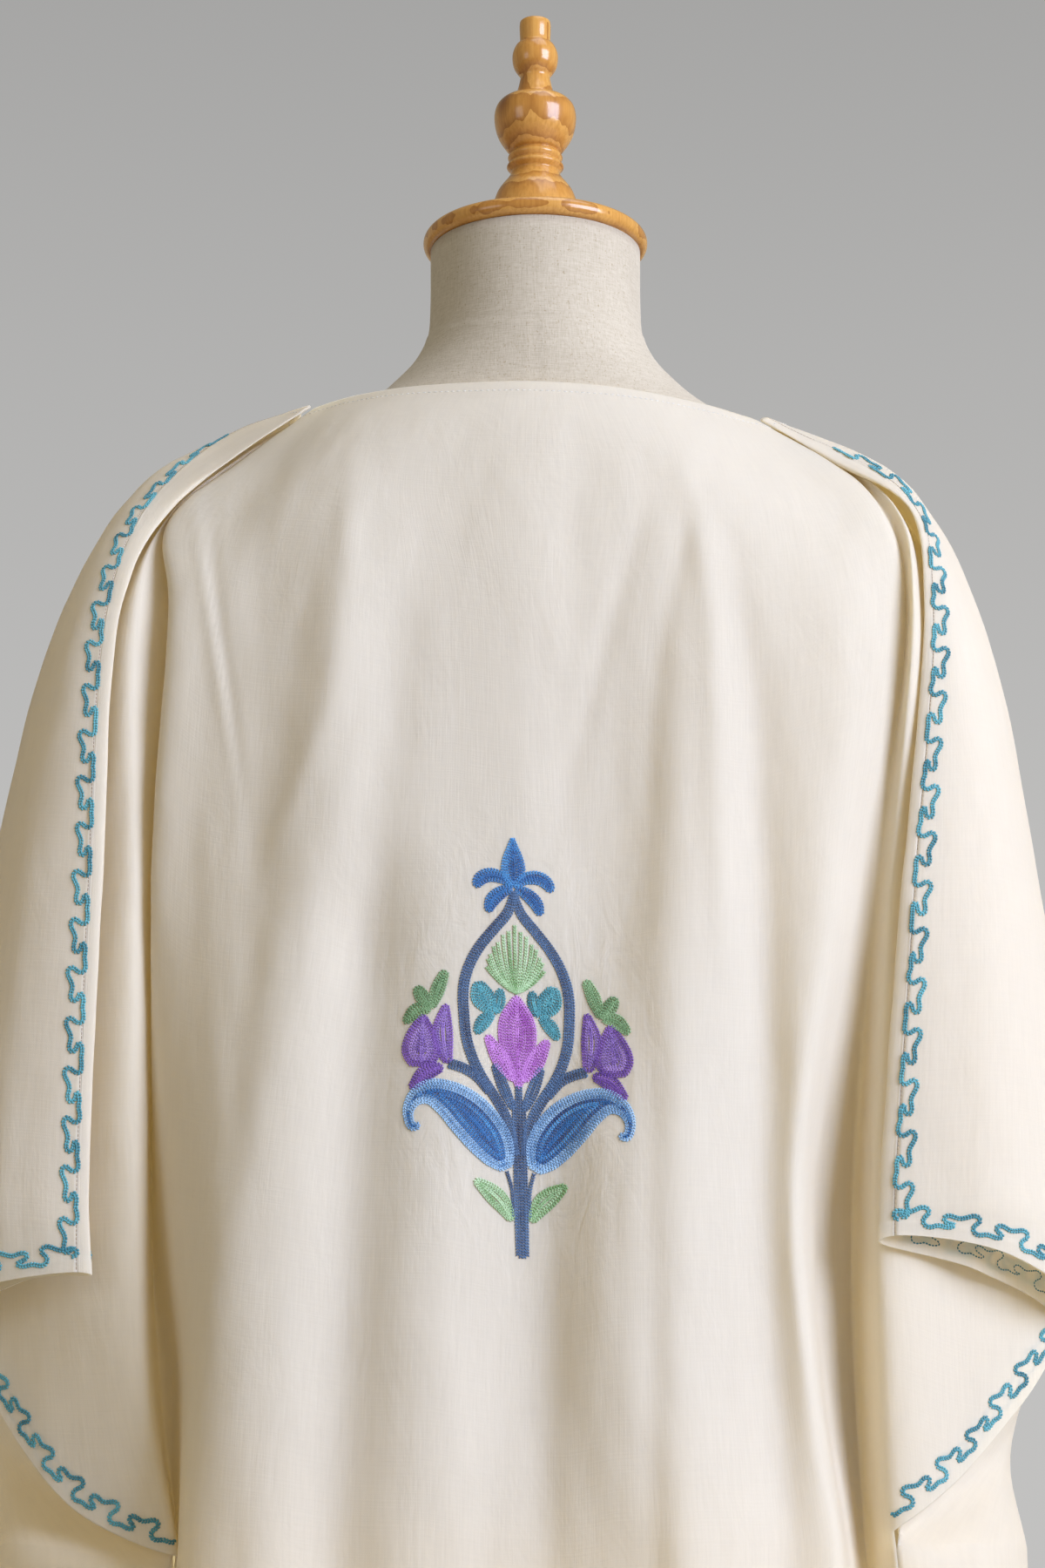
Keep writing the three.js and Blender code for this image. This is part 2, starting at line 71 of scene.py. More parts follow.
BACK_RIGHT = [
  # fold that rises beside the centre below the shoulder blades
  body((36, 62, 1396), (44, 75.5, 1373), (54, 88.5, 1336), (46, 104), (38, 115), (34, 132), (35, 138),
    (36, 142), (38, 158), (40, 168)),
  # cone fold from the shoulder blade
  body((66, 52, 1394.5), (74, 67, 1373), (81, 85.5, 1337), (76, 106), (71, 125), (66, 135), (66, 139),
    (69, 149), (73, 173), (74, 185)),
  body((91, 38, 1393.5), (100, 54, 1372), (110, 78, 1334), (112, 102), (112, 114), (108, 116),
    (112, 118), (118, 124), (120, 145), (120, 155)),
  body((107, 24, 1393.5), (127, 41, 1367), (149, 68, 1326), (158, 95), (143, 111), (124, 118),
    (129, 119), (140, 119), (150, 144), (152, 158)),
  # edge of the back panel, before it dives under the sleeve
  body((119.5, 13.5, 1392.6), (158.5, 28, 1364), (180, 61, 1325), (185, 83), (160, 97), (139, 84),
    (141, 82), (149, 86), (172, 132), (182, 144)),
  # valley between body and sleeve
  body((121.5, 10.5, 1391.2), (160, 19, 1365), (184, 53, 1326), (188.5, 79), (169, 89), (156, 65),
    (156, 60), (159, 62), (192, 110), (206, 120)),
  # inner edge of the sleeve's back half; the side seam starts at its foot
  body((122.5, 9, 1390.8), (162, 23, 1366.5), (188, 57, 1329), (191, 92), (176, 99), (167, 99),
    (168, 96), (171, 88, 809), (206, 84), (224, 76)),
  sleeve((124, 5, 1391.2), (159, 12, 1367), (189, 36, 1334), (205, 62), (214, 71), (214, 76),
    (213, 74, 843)),
  # outer turn of the pleat
  sleeve((126, 0.5, 1391.8), (160, 4, 1371), (190, 21, 1343), (221, 32), (250, 34), (260, 42),
    (258, 50, 909)),
  sleeve((126, 5, 1394), (161, 12, 1372), (193, 38, 1340), (211, 73), (220, 85), (216, 89),
    (215, 87, 933)),
  # fold beside the top seam, down to the cuff corner
  sleeve((120.5, 14.5, 1393.8), (156.5, 30, 1366), (193.5, 57, 1332), (197, 88), (180, 106), (166, 107),
    (165, 107, 945)),
]

BACK_LEFT = [
  body((36, 62, 1397.5), (46, 76, 1375), (54, 89, 1336), (42, 106), (42, 122), (47, 135), (50, 140),
    (51, 144), (50, 160), (50, 170)),
  body((68, 52, 1398.5), (80, 68, 1377), (92, 87, 1337), (99, 109), (106, 125), (124, 137), (128, 141),
    (131, 145), (138, 162), (142, 174)),
  body((93, 36, 1400), (106, 56, 1377), (122, 79, 1335), (134, 97), (142, 112), (149, 130), (156, 131),
    (163, 130), (160, 150), (166, 162)),
  body((107, 24, 1400.5), (129, 42, 1373), (150, 68, 1327), (160, 91), (168, 102), (171, 106), (169, 98),
    (169, 104), (172, 142), (180, 154)),
  body((119.5, 13, 1399.5), (158, 30, 1364), (191, 54, 1324), (186, 84), (191, 92), (186, 74), (178, 68),
    (173, 80), (182, 130), (192, 142)),
  body((121, 10, 1398.5), (159, 20, 1366), (189, 42, 1324), (187, 60), (190, 64), (191, 60), (184, 66),
    (173, 74), (196, 108), (208, 118)),
  body((122, 9, 1397.8), (160, 22, 1367), (193, 47, 1327), (205, 80), (200, 92), (195, 97), (189, 95),
    (172, 90, 797), (206, 86), (224, 76)),
  sleeve((124, 5, 1398.2), (158, 12, 1374), (187, 36, 1335), (221, 64), (238, 73), (245, 77),
    (226, 79, 822)),
  sleeve((126, 0.5, 1398.8), (159, 4, 1378.5), (190, 21, 1346), (236, 33), (268, 35), (283, 43),
    (281, 52, 908)),
  sleeve((126, 5, 1401), (160, 12, 1379), (191, 38, 1340), (227, 75), (243, 88), (250, 91),
    (249, 89, 928)),
  sleeve((120.5, 15.5, 1401), (157.5, 34, 1367.5), (191, 56, 1330), (210, 90), (215, 106), (217, 107),
    (215, 107, 929)),
]

# The top seam joins back and front: neck end, over the shoulder, down to the cuff corner.
SEAM_RIGHT = sleeve((123.5, 11, 1396), (160.5, 25, 1371.5), (195.5, 52, 1337), (201, 88.5), (186, 108.5),
    (172.5, 110), (172, 109.5, 947.5))
SEAM_LEFT = sleeve((126.5, 5, 1403.2), (163, 0, 1391.5), (201, 49, 1337), (217, 90), (220.5, 108),
    (222, 109.5), (221, 109, 930))

# Front half of the sleeve: it lies over the back half and wraps round the outside to the front.
WING_RIGHT = [
  sleeve((127.5, 4, 1396.8), (164, 14, 1379), (197.5, 40, 1346), (213, 82), (227, 97), (223, 103),
    (222, 100, 942)),
  sleeve((129, -1, 1396.4), (163, 0, 1381.8), (199.5, 16, 1353), (231, 50), (254, 62), (264, 72),
    (262, 74, 923)),
  sleeve((129.5, -5, 1396), (162, -8, 1381.6), (201.5, -3, 1356), (236, 14), (260, 22), (275, 34),
    (277, 33, 907)),
  sleeve((129.4, -8, 1395.2), (161.5, -12, 1380.6), (201, -8.5, 1355.5), (236, 4), (261, 10), (277, 18),
    (264, 32, 896)),
  sleeve((129.2, -10.5, 1394.4), (161, -15.5, 1379.4), (200, -14, 1354.5), (235, -6), (260, -2),
    (275, 2), (238, 51, 892)),
  sleeve((128.8, -13, 1393.4), (160.5, -19, 1378), (199, -19, 1353), (233, -15), (258, -13), (271, -12),
    (214, 66, 858)),
  # the fold that sweeps back to the underarm
  body((128.2, -15.5, 1392), (160, -22.5, 1376.5), (197.5, -24, 1350.5), (230, -24), (254, -24),
    (265, -24), (246, 4), (173, 85.5, 807)),
]

WING_LEFT = [
  sleeve((128, 2, 1403.4), (163, -5, 1393), (205, 34, 1349), (232, 82), (254, 98), (262, 104),
    (260, 101, 926)),
  sleeve((129, -1, 1403.4), (162.5, -9, 1393.3), (206.5, 14, 1361), (247, 52), (276, 64), (291, 73),
    (291, 76, 918)),
  sleeve((129.5, -5, 1403), (162, -13, 1392.2), (207.5, -3, 1364.5), (251, 15), (283, 24), (299, 34),
    (300, 34, 906)),
  sleeve((129.4, -8, 1402.2), (161.5, -16, 1390.4), (207, -8.5, 1364), (251, 5), (284, 11), (300, 18),
    (286, 32, 901)),
  sleeve((129.2, -10.5, 1401.4), (161, -18.5, 1388), (206, -14, 1362.5), (250, -5), (283, -1), (298, 2),
    (260, 52, 897)),
  sleeve((128.8, -13, 1400.4), (160.5, -20.5, 1386), (204.5, -19, 1360.5), (248, -15), (281, -12),
    (294, -12), (226, 69, 848)),
  body((128.2, -15.5, 1399), (160, -22.5, 1384), (202.5, -24, 1358), (245, -24), (277, -24), (288, -24),
    (276, 6), (174.5, 87, 796)),
]

# Front body folds, from beside the side seam to the centre front. Both sides share them. The left
# side reaches further out, by LEFT_REACH at each place.
FRONT = [
  body((126.5, -21, 1388.5), (157, -29, 1371.5), (193.5, -33, 1345), (226, -36), (248, -40), (258, -42),
    (247, -20), (218, 62), (236, 48), (254, 36)),
  body((123.5, -28, 1385), (152, -38, 1366), (186, -45, 1338), (216, -54), (236, -62), (243, -66),
    (237, -50), (244, 10), (250, -4), (264, -14)),
  body((116.5, -39, 1380), (142, -51, 1356), (172, -63, 1327), (196, -78), (210, -90), (216, -94),
    (212, -88), (216, -62), (226, -74), (234, -90)),
  body((100, -54, 1370), (120, -69, 1341), (140, -85, 1313), (152, -104), (160, -124), (164, -132),
    (165, -131), (168, -126), (170, -146), (174, -162)),
  body((72, -69, 1359), (84, -83, 1330), (94, -97, 1304), (100, -108), (104, -113), (107, -119),
    (108, -121), (110, -123), (112, -133), (114, -142)),
  body((38, -79, 1351), (46, -91, 1323), (52, -104, 1299), (56, -120), (58, -136), (60, -146),
    (61, -149), (62, -152), (64, -168), (66, -180)),
]
CENTRE_FRONT = body((0, -82, 1348), (0, -93, 1321), (0, -104, 1297), (0, -115), (0, -124), (0, -132),
    (0, -136), (0, -139), (0, -152), (0, -162))
LEFT_REACH = dict(neck=0, yoke=0, tip=5, blade=14, arm=23, cuff=24, drop=32, under=34, knee=14, hem=4)
LEFT_LIFT = dict(neck=7, yoke=7.5, tip=7.5)  # the left shoulder sits this much higher
FADE = (30, 130)  # reach and lift fade in between these distances from the centre


# ---------- the cloth's net of points ----------
UPPER_ROWS = [7, 7, 12, 24, 24, 10, 14]  # mesh rows from each place to the next, neck to cuff
SKIRT_ROWS = [38, 40]
STRIPS = 12  # mesh columns from each fold to the next
EDGE_EASE = 1.6  # above 1, rows crowd towards the neck and the hems
UPPER_FOLDS = 52  # folds round the garment down to the cuff, and round the skirt
SKIRT_FOLDS = 28
SIDE_SEAMS = (5, 19)  # the back's folds that the side seams hang from
TOP_SEAMS = (0, 24)  # left and right
SWEEPS = (45, 31)  # the front's folds that meet the side seams, left and right


def place_of(row, side, place):
    spot = row[place]
    x, y = spot[:2]
    z = spot[2] if len(spot) > 2 else LEVEL[place]
    return np.array([side * x, y, z], float)


def curve(points, at, closed=False):
    """Places on the centripetal Catmull-Rom curve through points (..., n, 3). at counts the points."""
    count = points.shape[-2]
    last = count - 1 if closed else count - 2
    start = np.minimum(np.floor(at).astype(int), last)
    share = (at - start)[:, None]
    if closed:
        a, b, c, d = (points[..., (start + k) % count, :] for k in (-1, 0, 1, 2))
    else:
        before = 2 * points[..., :1, :] - points[..., 1:2, :]
        after = 2 * points[..., -1:, :] - points[..., -2:-1, :]
        padded = np.concatenate([before, points, after], axis=-2)
        a, b, c, d = (padded[..., start + k, :] for k in (0, 1, 2, 3))

    def step(p, q):
        return np.sqrt(np.linalg.norm(q - p, axis=-1, keepdims=True))

    middle = np.maximum(step(b, c), 1e-4)
    first = np.where(step(a, b) < 1e-4, middle, step(a, b))
    final = np.where(step(c, d) < 1e-4, middle, step(c, d))
    leave = ((b - a) / first - (c - a) / (first + middle) + (c - b) / middle) * middle
    arrive = ((c - b) / middle - (d - b) / (middle + final) + (d - c) / final) * middle
    return (
        b
        + leave * share
        + (3 * (c - b) - 2 * leave - arrive) * share**2
        + (2 * (b - c) + leave + arrive) * share**3
    )


def row_places(rows, crowd_first=False, crowd_last=False):
    """Row places from knot to knot, crowded towards the first or the last edge."""
    places = [np.zeros(1)]
    for span, count in enumerate(rows):
        share = np.arange(1, count + 1) / count
        if span == 0 and crowd_first:
            share = share**EDGE_EASE
        if span == len(rows) - 1 and crowd_last:
            share = 1 - (1 - share) ** EDGE_EASE
            share[-1] = 1
        places.append(span + share)
    return np.minimum(np.concatenate(places), len(rows) - 1e-9)


def smoothstep(value, low, high):
    share = np.clip((value - low) / (high - low), 0, 1)
    return share * share * (3 - 2 * share)


def left_front(row):
    """A front fold of the left side: its row, reaching further out and higher."""
    moved = {}
    for place, reach in LEFT_REACH.items():
        x, y, z = place_of(row, 1, place)
        share = smoothstep(x, *FADE)
        moved[place] = (x + reach * share, y, z + LEFT_LIFT.get(place, 0) * share)
    return moved


def folds_in_order():
    """(row, side) of each fold: from the left top seam over the back to the right one, then the front."""
    back = [(row, 1) for row in [SEAM_LEFT, *reversed(BACK_LEFT)]]
    back += [(row, -1) for row in [CENTRE_BACK, *BACK_RIGHT, SEAM_RIGHT]]
    front = [(row, -1) for row in [*WING_RIGHT, *FRONT, CENTRE_FRONT]]
    front += [(left_front(row), 1) for row in reversed(FRONT)]
    front += [(row, 1) for row in reversed(WING_LEFT)]
    return back + front


def upper_knots(row, side):
    knots = [place_of(row, side, place) for place in TO_CUFF]
    if "end" in row:
        end = place_of(row, side, "end")
        return knots + [(knots[-1] + end) / 2, end]
    return knots + [place_of(row, side, "drop"), place_of(row, side, "under")]


class Cloth:
    """The whole garment's middle surface as one net: points, outward normals, faces of each panel."""

    def __init__(self):
        folds = folds_in_order()
        lines = curve(
            np.array([upper_knots(*fold) for fold in folds]),
            row_places(UPPER_ROWS, crowd_first=True, crowd_last=True),
        )
        around = np.arange(UPPER_FOLDS * STRIPS) / STRIPS
        self.upper = curve(lines.transpose(1, 0, 2), around, closed=True)
        left, right = SIDE_SEAMS
        folds_down = folds[left : right + 1] + [fold for fold in folds[SWEEPS[1] :] if "hem" in fold[0]]
        knots = np.array([[place_of(*fold, place) for place in SKIRT] for fold in folds_down])
        skirt = curve(knots, row_places(SKIRT_ROWS, crowd_last=True)).transpose(1, 0, 2)
        around = np.arange(SKIRT_FOLDS * STRIPS) / STRIPS
        self.skirt = curve(skirt, around, closed=True)[1:]
        self.points = np.concatenate([self.upper.reshape(-1, 3), self.skirt.reshape(-1, 3)])
        self.index_nets()
        self.normals = self.face_normals()

    def index_nets(self):
        """Each panel's net of point numbers: rows run down, and -1 is no cloth."""
        rows, columns = self.upper.shape[:2]
        upper = np.arange(rows * columns).reshape(rows, columns)
        upper = np.concatenate([upper, upper[:, :1]], axis=1)
        skirt = rows * columns + np.arange(self.skirt[..., 0].size).reshape(self.skirt.shape[:2])
        skirt = np.concatenate([skirt, skirt[:, :1]], axis=1)
        sides = (SIDE_SEAMS[1] - SIDE_SEAMS[0]) * STRIPS
        self.nets = {}
        spans = {"back": (TOP_SEAMS[0], TOP_SEAMS[1]), "front": (TOP_SEAMS[1], UPPER_FOLDS)}
        for name, (first, last) in spans.items():
            top = upper[:, first * STRIPS : last * STRIPS + 1]
            low = skirt[:, : sides + 1] if name == "back" else skirt[:, sides:]
            blank = -np.ones((len(low), (top.shape[1] - low.shape[1]) // 2), int)
            self.nets[name] = np.concatenate([top, np.concatenate([blank, low, blank], axis=1)])

    def quads(self, name):
        net = self.nets[name]
        corners = np.stack([net[:-1, :-1], net[:-1, 1:], net[1:, 1:], net[1:, :-1]], axis=-1)
        return corners[(corners >= 0).all(axis=-1)]

    def face_normals(self):
        sums = np.zeros_like(self.points)
        for name in self.nets:
            quads = self.quads(name)
            a, b, c, d = (self.points[quads[:, k]] for k in range(4))
            normal = np.cross(d - b, c - a)
            normal /= np.linalg.norm(normal, axis=1, keepdims=True) + 1e-12
            for k in range(4):
                np.add.at(sums, quads[:, k], normal)
        return sums / (np.linalg.norm(sums, axis=1, keepdims=True) + 1e-12)


# ---------- creases, hems and seams, as moves of the net along its normals ----------
# Creases of the back: (width, depth, line). Below 0 is a trough. A line is (x, height) from top to
# bottom, and x is towards the garment's left.
CREASES = [
    (7, -1.3, [(-73, 1290), (-62, 1240), (-57, 1190), (-53, 1128)]),
    (9, -1.8, [(-103, 1268), (-108, 1200), (-111, 1129), (-112, 1040)]),
    (6, 1.6, [(-84, 1292), (-88, 1255), (-89, 1190), (-90, 1120)]),
    (6, -1.6, [(-39, 1262), (-33, 1240), (-27, 1213)]),
    (2.6, -1.0, [(170, 1324), (165, 1290), (159, 1250), (153, 1212)]),
    (3, 0.9, [(174, 1322), (169, 1285), (163, 1248), (157, 1215)]),
    (17, -4.5, [(70, 1235), (76, 1170), (80, 1120)]),
    (22, -12, [(84, 1075), (87, 1000), (88, 955), (92, 872), (95, 800), (98, 520), (102, 340)]),
    (7, 1.4, [(95, 1312), (97, 1250), (103, 1205), (117, 1168)]),
    (10, -1.5, [(118, 1255), (128, 1190), (138, 1110), (146, 1010)]),
    (11, -1.2, [(-20, 1330), (-17, 1230), (-13, 1160)]),
    (12, -2.0, [(-112, 1180), (-112, 1060), (-114, 930), (-116, 800), (-124, 650)]),
    (9, 1.4, [(-148, 1100), (-150, 980), (-150, 850), (-156, 700)]),
    (12, 1.3, [(-20, 900), (-16, 760), (-14, 560), (-18, 330)]),
    (13, -1.6, [(22, 860), (26, 700), (22, 480), (26, 240)]),
    (8, -2.0, [(-54, 1010), (-55, 920), (-54, 800), (-56, 640)]),
]
# Creases of the front: the same, on the hidden side.
FRONT_CREASES = [
    (9, -1.8, [(30, 1290), (27, 1180), (22, 1040)]),
    (8, 1.6, [(-24, 1270), (-26, 1150), (-30, 990)]),
    (10, -2.0, [(84, 1260), (88, 1130), (84, 960), (86, 760)]),
    (9, 1.5, [(-130, 1230), (-136, 1100), (-140, 920)]),
    (11, -1.8, [(-86, 1200), (-84, 1050), (-88, 860), (-86, 600)]),
    (12, 1.6, [(140, 1150), (146, 980), (150, 780), (152, 540)]),
    (12, -1.6, [(-30, 900), (-28, 700), (-34, 420), (-30, 220)]),
    (12, 1.5, [(20, 840), (26, 620), (22, 380), (26, 180)]),
]
CREASE_FADE = 45  # a crease fades out over this distance past its line's ends
CREASE_FACING = (0.35, 0.7)  # how far cloth faces back or front where creases start and are full
CREASE_MARGIN = 5  # folds beside a panel's side edges that take no creases
# Fine wrinkles: their size and height in mm, how many times longer they are down the cloth, and a seed.
WRINKLES = [
    dict(size=34, height=1.0, stretch=3.2, seed=3.1),
    dict(size=12, height=0.45, stretch=2.6, seed=8.7),
]
WRINKLE_START = (3, 50)  # distances from the neckline where they start and are full
NECK_HEM = 7.6  # widths of the turned edges
SKIRT_HEM = 18
CUFF_HEM = 7
THIN = 0.5  # thickness of the cloth
TURNED = 1.1  # and of a turned edge
TURN_STEPS = (0.6, 0.8)  # half the width of the step to a turned edge, at the neck and at a hem


def line_distance(spots, line):
    """Distance of (x, z) spots from a line, and how far past its ends they lie."""
    knots = np.array(line, float)
    best = np.full(len(spots), 1e9)
    beyond = np.zeros(len(spots))
    for p, q in zip(knots[:-1], knots[1:]):
        along = ((spots - p) @ (q - p)) / ((q - p) @ (q - p))
        share = np.clip(along, 0, 1)
        away = np.linalg.norm(spots - (p + share[:, None] * (q - p)), axis=1)
        past = np.abs(along - share) * np.linalg.norm(q - p)
        closer = away < best
        best = np.where(closer, away, best)
        beyond = np.where(closer, past, beyond)
    return np.sqrt(np.maximum(best**2 - beyond**2, 0)), beyond


def crease_height(points, width, depth, line):
    away, beyond = line_distance(points[:, [0, 2]], line)
    return depth * np.exp(-((away / width) ** 2) - (beyond / CREASE_FADE) ** 2)


def wrinkle_height(points, size, height, stretch, seed):
    """Fine uneven wrinkles: smooth noise, stretched down the cloth."""
    shift = Vector((seed, 2.3 * seed, -seed))
    return height * np.array(
        [noise.noise(Vector((x / size, y / size, z / (size * stretch))) + shift) for x, y, z in points]
    )


def running(steps):
    """Sums of the steps so far, from 0."""
    return np.concatenate([np.zeros_like(steps[:1]), np.cumsum(steps, axis=0)])


def edge_distances(cloth, name):
    """How far each point of a panel's net is down its column, and up from the column's foot."""
    net = cloth.nets[name]
    spots = cloth.points[np.maximum(net, 0)]
    gaps = np.linalg.norm(np.diff(spots, axis=0), axis=2)
    gaps[(net[1:] < 0) | (net[:-1] < 0)] = 0
    down = running(gaps)
    return down, down[-1] - down


def turned_share(net, down, up):
    """1 where a panel's edge is turned under, at the neck, the cuffs and the skirt hem, and 0 elsewhere."""
    hem = np.where(net[-1] < 0, CUFF_HEM, SKIRT_HEM)[None, :]
    neck_step, hem_step = TURN_STEPS
    at_neck = 1 - smoothstep(down, NECK_HEM - neck_step, NECK_HEM + neck_step)
    at_foot = 1 - smoothstep(up, hem - hem_step, hem + hem_step)
    return np.maximum(at_neck, at_foot)


def shape_cloth(cloth):
    """Adds creases and wrinkles to the net, and gives each point its thickness."""
    points, normals = cloth.points, cloth.normals
    height = np.zeros(len(points))
    thickness = np.full(len(points), THIN)
    for name, creases in (("back", CREASES), ("front", FRONT_CREASES)):
        net = cloth.nets[name]
        inner = net[:, CREASE_MARGIN * STRIPS : -CREASE_MARGIN * STRIPS]
        middle = np.unique(inner[inner >= 0])
        facing = smoothstep(np.abs(normals[middle, 1]), *CREASE_FACING)
        for crease in creases:
            height[middle] += facing * crease_height(points[middle], *crease)
        down, up = edge_distances(cloth, name)
        has = net >= 0
        ids = net[has]
        thickness[ids] = THIN + (TURNED - THIN) * turned_share(net, down, up)[has]
        wrinkles = sum(wrinkle_height(points[ids], **wrinkle) for wrinkle in WRINKLES)
        height[ids] += smoothstep(down, *WRINKLE_START)[has] * wrinkles
    cloth.points = points + normals * height[:, None]
    cloth.normals = cloth.face_normals()
    cloth.thickness = thickness


def new_mesh(name, vertices, faces, smooth=True):
    """A mesh object from arrays in millimetres. faces is an (n, 3) or (n, 4) array."""
    mesh = bpy.data.meshes.new(name)
    faces = np.asarray(faces, np.int32)
    sides = faces.shape[1]
    mesh.vertices.add(len(vertices))
    mesh.vertices.foreach_set("co", (np.asarray(vertices, np.float32) * MM).ravel())
    mesh.loops.add(faces.size)
    mesh.loops.foreach_set("vertex_index", faces.ravel())
    mesh.polygons.add(len(faces))
    mesh.polygons.foreach_set("loop_start", np.arange(0, faces.size, sides, dtype=np.int32))
    if smooth:
        mesh.polygons.foreach_set("use_smooth", np.ones(len(faces), bool))
    mesh.update(calc_edges=True)
    mesh.validate()
    piece = bpy.data.objects.new(name, mesh)
    bpy.context.collection.objects.link(piece)
    return piece


def set_attribute(piece, name, values):
    """A number for each vertex, which the piece's material reads by name."""
    layer = piece.data.attributes.new(name, "FLOAT", "POINT")
    layer.data.foreach_set("value", np.asarray(values, np.float32))


def panel_shell(cloth, name):
    """A panel as a closed thin shell: outer face, inner face and the rim between them."""
    quads = cloth.quads(name)
    used, quads = np.unique(quads, return_inverse=True)
    quads = quads.reshape(-1, 4)
    half = cloth.normals[used] * cloth.thickness[used, None] / 2
    outer = cloth.points[used] + half
    inner = cloth.points[used] - half
    count = len(used)
    edges = np.concatenate([quads[:, [k, (k + 1) % 4]] for k in range(4)])
    keys = np.sort(edges, axis=1)
    _, first, hits = np.unique(keys, axis=0, return_index=True, return_counts=True)
    rim = edges[first[hits == 1]]
    walls = np.stack([rim[:, 0], rim[:, 0] + count, rim[:, 1] + count, rim[:, 1]], axis=1)
    faces = np.concatenate([quads[:, ::-1], quads + count, walls[:, ::-1]])
    return new_mesh(f"kaftan_{name}_cloth", np.concatenate([outer, inner]), faces)


# ---------- places on the cloth that the embroidery follows ----------
SEAM_FOLDS = 3  # the top seam's meander lies within this many folds
CUFF_ROWS = 40  # and the cuff's within this many rows
REACH_ROWS = 6  # the cloth's way in from an edge is taken over this many rows
STEEPEST = 0.85  # largest cosine between an edge and that way in
BLUR = 6  # the cosine is averaged over this many columns on each side


def walked_along(path):
    """Distance from a path's first point to each of its points."""
    return running(np.linalg.norm(np.diff(path, axis=0), axis=1))


def unit(vectors):
    return vectors / np.linalg.norm(vectors, axis=-1, keepdims=True)


class EdgeBand:
    """Cloth beside an edge of a panel. at() takes distances along the edge and in from it."""

    def __init__(self, cloth, ids, face=1):
        self.normals = face * cloth.normals[ids]
        self.points = cloth.points[ids] + self.normals * cloth.thickness[ids, None] / 2
        edge = self.points[0]
        self.along = walked_along(edge)
        self.length = self.along[-1]
        self.inward = running(np.linalg.norm(np.diff(self.points, axis=0), axis=2))
        tangent = unit(np.gradient(edge, axis=0))
        reach = unit(self.points[REACH_ROWS] - edge)
        cosine = np.clip((tangent * reach).sum(axis=1), -STEEPEST, STEEPEST)
        window = 2 * BLUR + 1
        padded = np.pad(cosine, BLUR, mode="edge")
        self.cosine = np.convolve(padded, np.ones(window) / window, mode="valid")

    def at(self, along, inward):
        """Points and normals on the cloth, for arrays of distances."""
        cosine = np.interp(along, self.along, self.cosine)
        sine = np.sqrt(1 - cosine**2)
        column = np.interp(along - inward * cosine / sine, self.along, np.arange(len(self.along)))
        column = np.clip(column, 0, len(self.along) - 1.001)
        left = column.astype(int)
        share = (column - left)[:, None]
        picks = []
        for index in (left, left + 1):
            depths = self.inward[:, index]
            want = inward / sine
            row = np.array([np.interp(w, depths[:, k], np.arange(len(depths))) for k, w in enumerate(want)])
            low = np.minimum(row.astype(int), len(depths) - 2)
            part = (row - low)[:, None]
            spot = self.points[low, index] * (1 - part) + self.points[low + 1, index] * part
            normal = self.normals[low, index] * (1 - part) + self.normals[low + 1, index] * part
            picks.append((spot, normal))
        points = picks[0][0] * (1 - share) + picks[1][0] * share
        return points, unit(picks[0][1] * (1 - share) + picks[1][1] * share)

    def line(self, inward, margin, step):
        """Places in a row at one distance in from the edge, short of its ends by the margin."""
        along = np.arange(margin, self.length - margin, step)
        return self.at(along, np.full(len(along), inward))


def seam_band(cloth, side):
    """Front cloth beside a top seam, from the neck to the cuff corner."""
    net = cloth.nets["front"][: len(cloth.upper)]
    if side == "left":
        net = net[:, ::-1]
    return EdgeBand(cloth, net[:, : SEAM_FOLDS * STRIPS].T)


def cuff_band(cloth, side, half, face=1):
    """Cloth beside a sleeve's hem: its front or back half, from the underarm to the top seam."""
    net = cloth.nets[half][: len(cloth.upper)][::-1]
    folds = SIDE_SEAMS[0] - TOP_SEAMS[0] if half == "back" else SWEEPS[1] - TOP_SEAMS[1]
    width = folds * STRIPS + 1
    at_start = (side == "left") == (half == "back")
    ids = net[:, :width][:, ::-1] if at_start else net[:, -width:]
    return EdgeBand(cloth, ids[:CUFF_ROWS], face)


# ---------- chain stitch ----------
PITCH = 1.45  # one chain stitch
CHAIN_WIDTH = 2.5
ROW_GAP = 1.7  # from one row of filling to the next
ROW_WIDTH = 1.12 * ROW_GAP
# One link is two slanted grains. Rings of a grain: place along it, radius as a share.
GRAIN = [(-0.5, 0.0), (-0.24, 0.86), (0.16, 1.0), (0.5, 0.0)]
GRAIN_SIDES = 5
# Lean of a link's grains in radians, their length in pitches, and their width and place out from the
# row's middle as shares of its width. Height and lift over the cloth are in mm.
LINK = dict(lean=0.5, length=1.42, width=0.5, out=0.235, height=0.95, lift=0.28)
# Uneven dye: depth of its slow waves, their lengths in mm, and the spread between neighbours in a row of
# chain stitch, between plain stitches, and between the spray's rows.
DYE = dict(waves=0.26, lengths=(9.0, 23.0), spread=0.14, plain_spread=0.1, row_spread=0.16)


def resample(path, step, closed=False):
    """Evenly spaced places along a path, as shares of its points' numbering."""
    loop = np.concatenate([path, path[:1]]) if closed else path
    walked = walked_along(loop)
    count = max(2, int(round(walked[-1] / step)))
    goal = np.arange(count) * walked[-1] / count if closed else np.linspace(0, walked[-1], count + 1)
    return np.interp(goal, walked, np.arange(len(loop)))


def picked(values, at, closed=False):
    """Values in between a path's points, at places numbered as resample() gives them."""
    loop = np.concatenate([values, values[:1]]) if closed else values
    low = np.minimum(at.astype(int), len(loop) - 2)
    share = (at - low)[:, None]
    return loop[low] * (1 - share) + loop[low + 1] * share


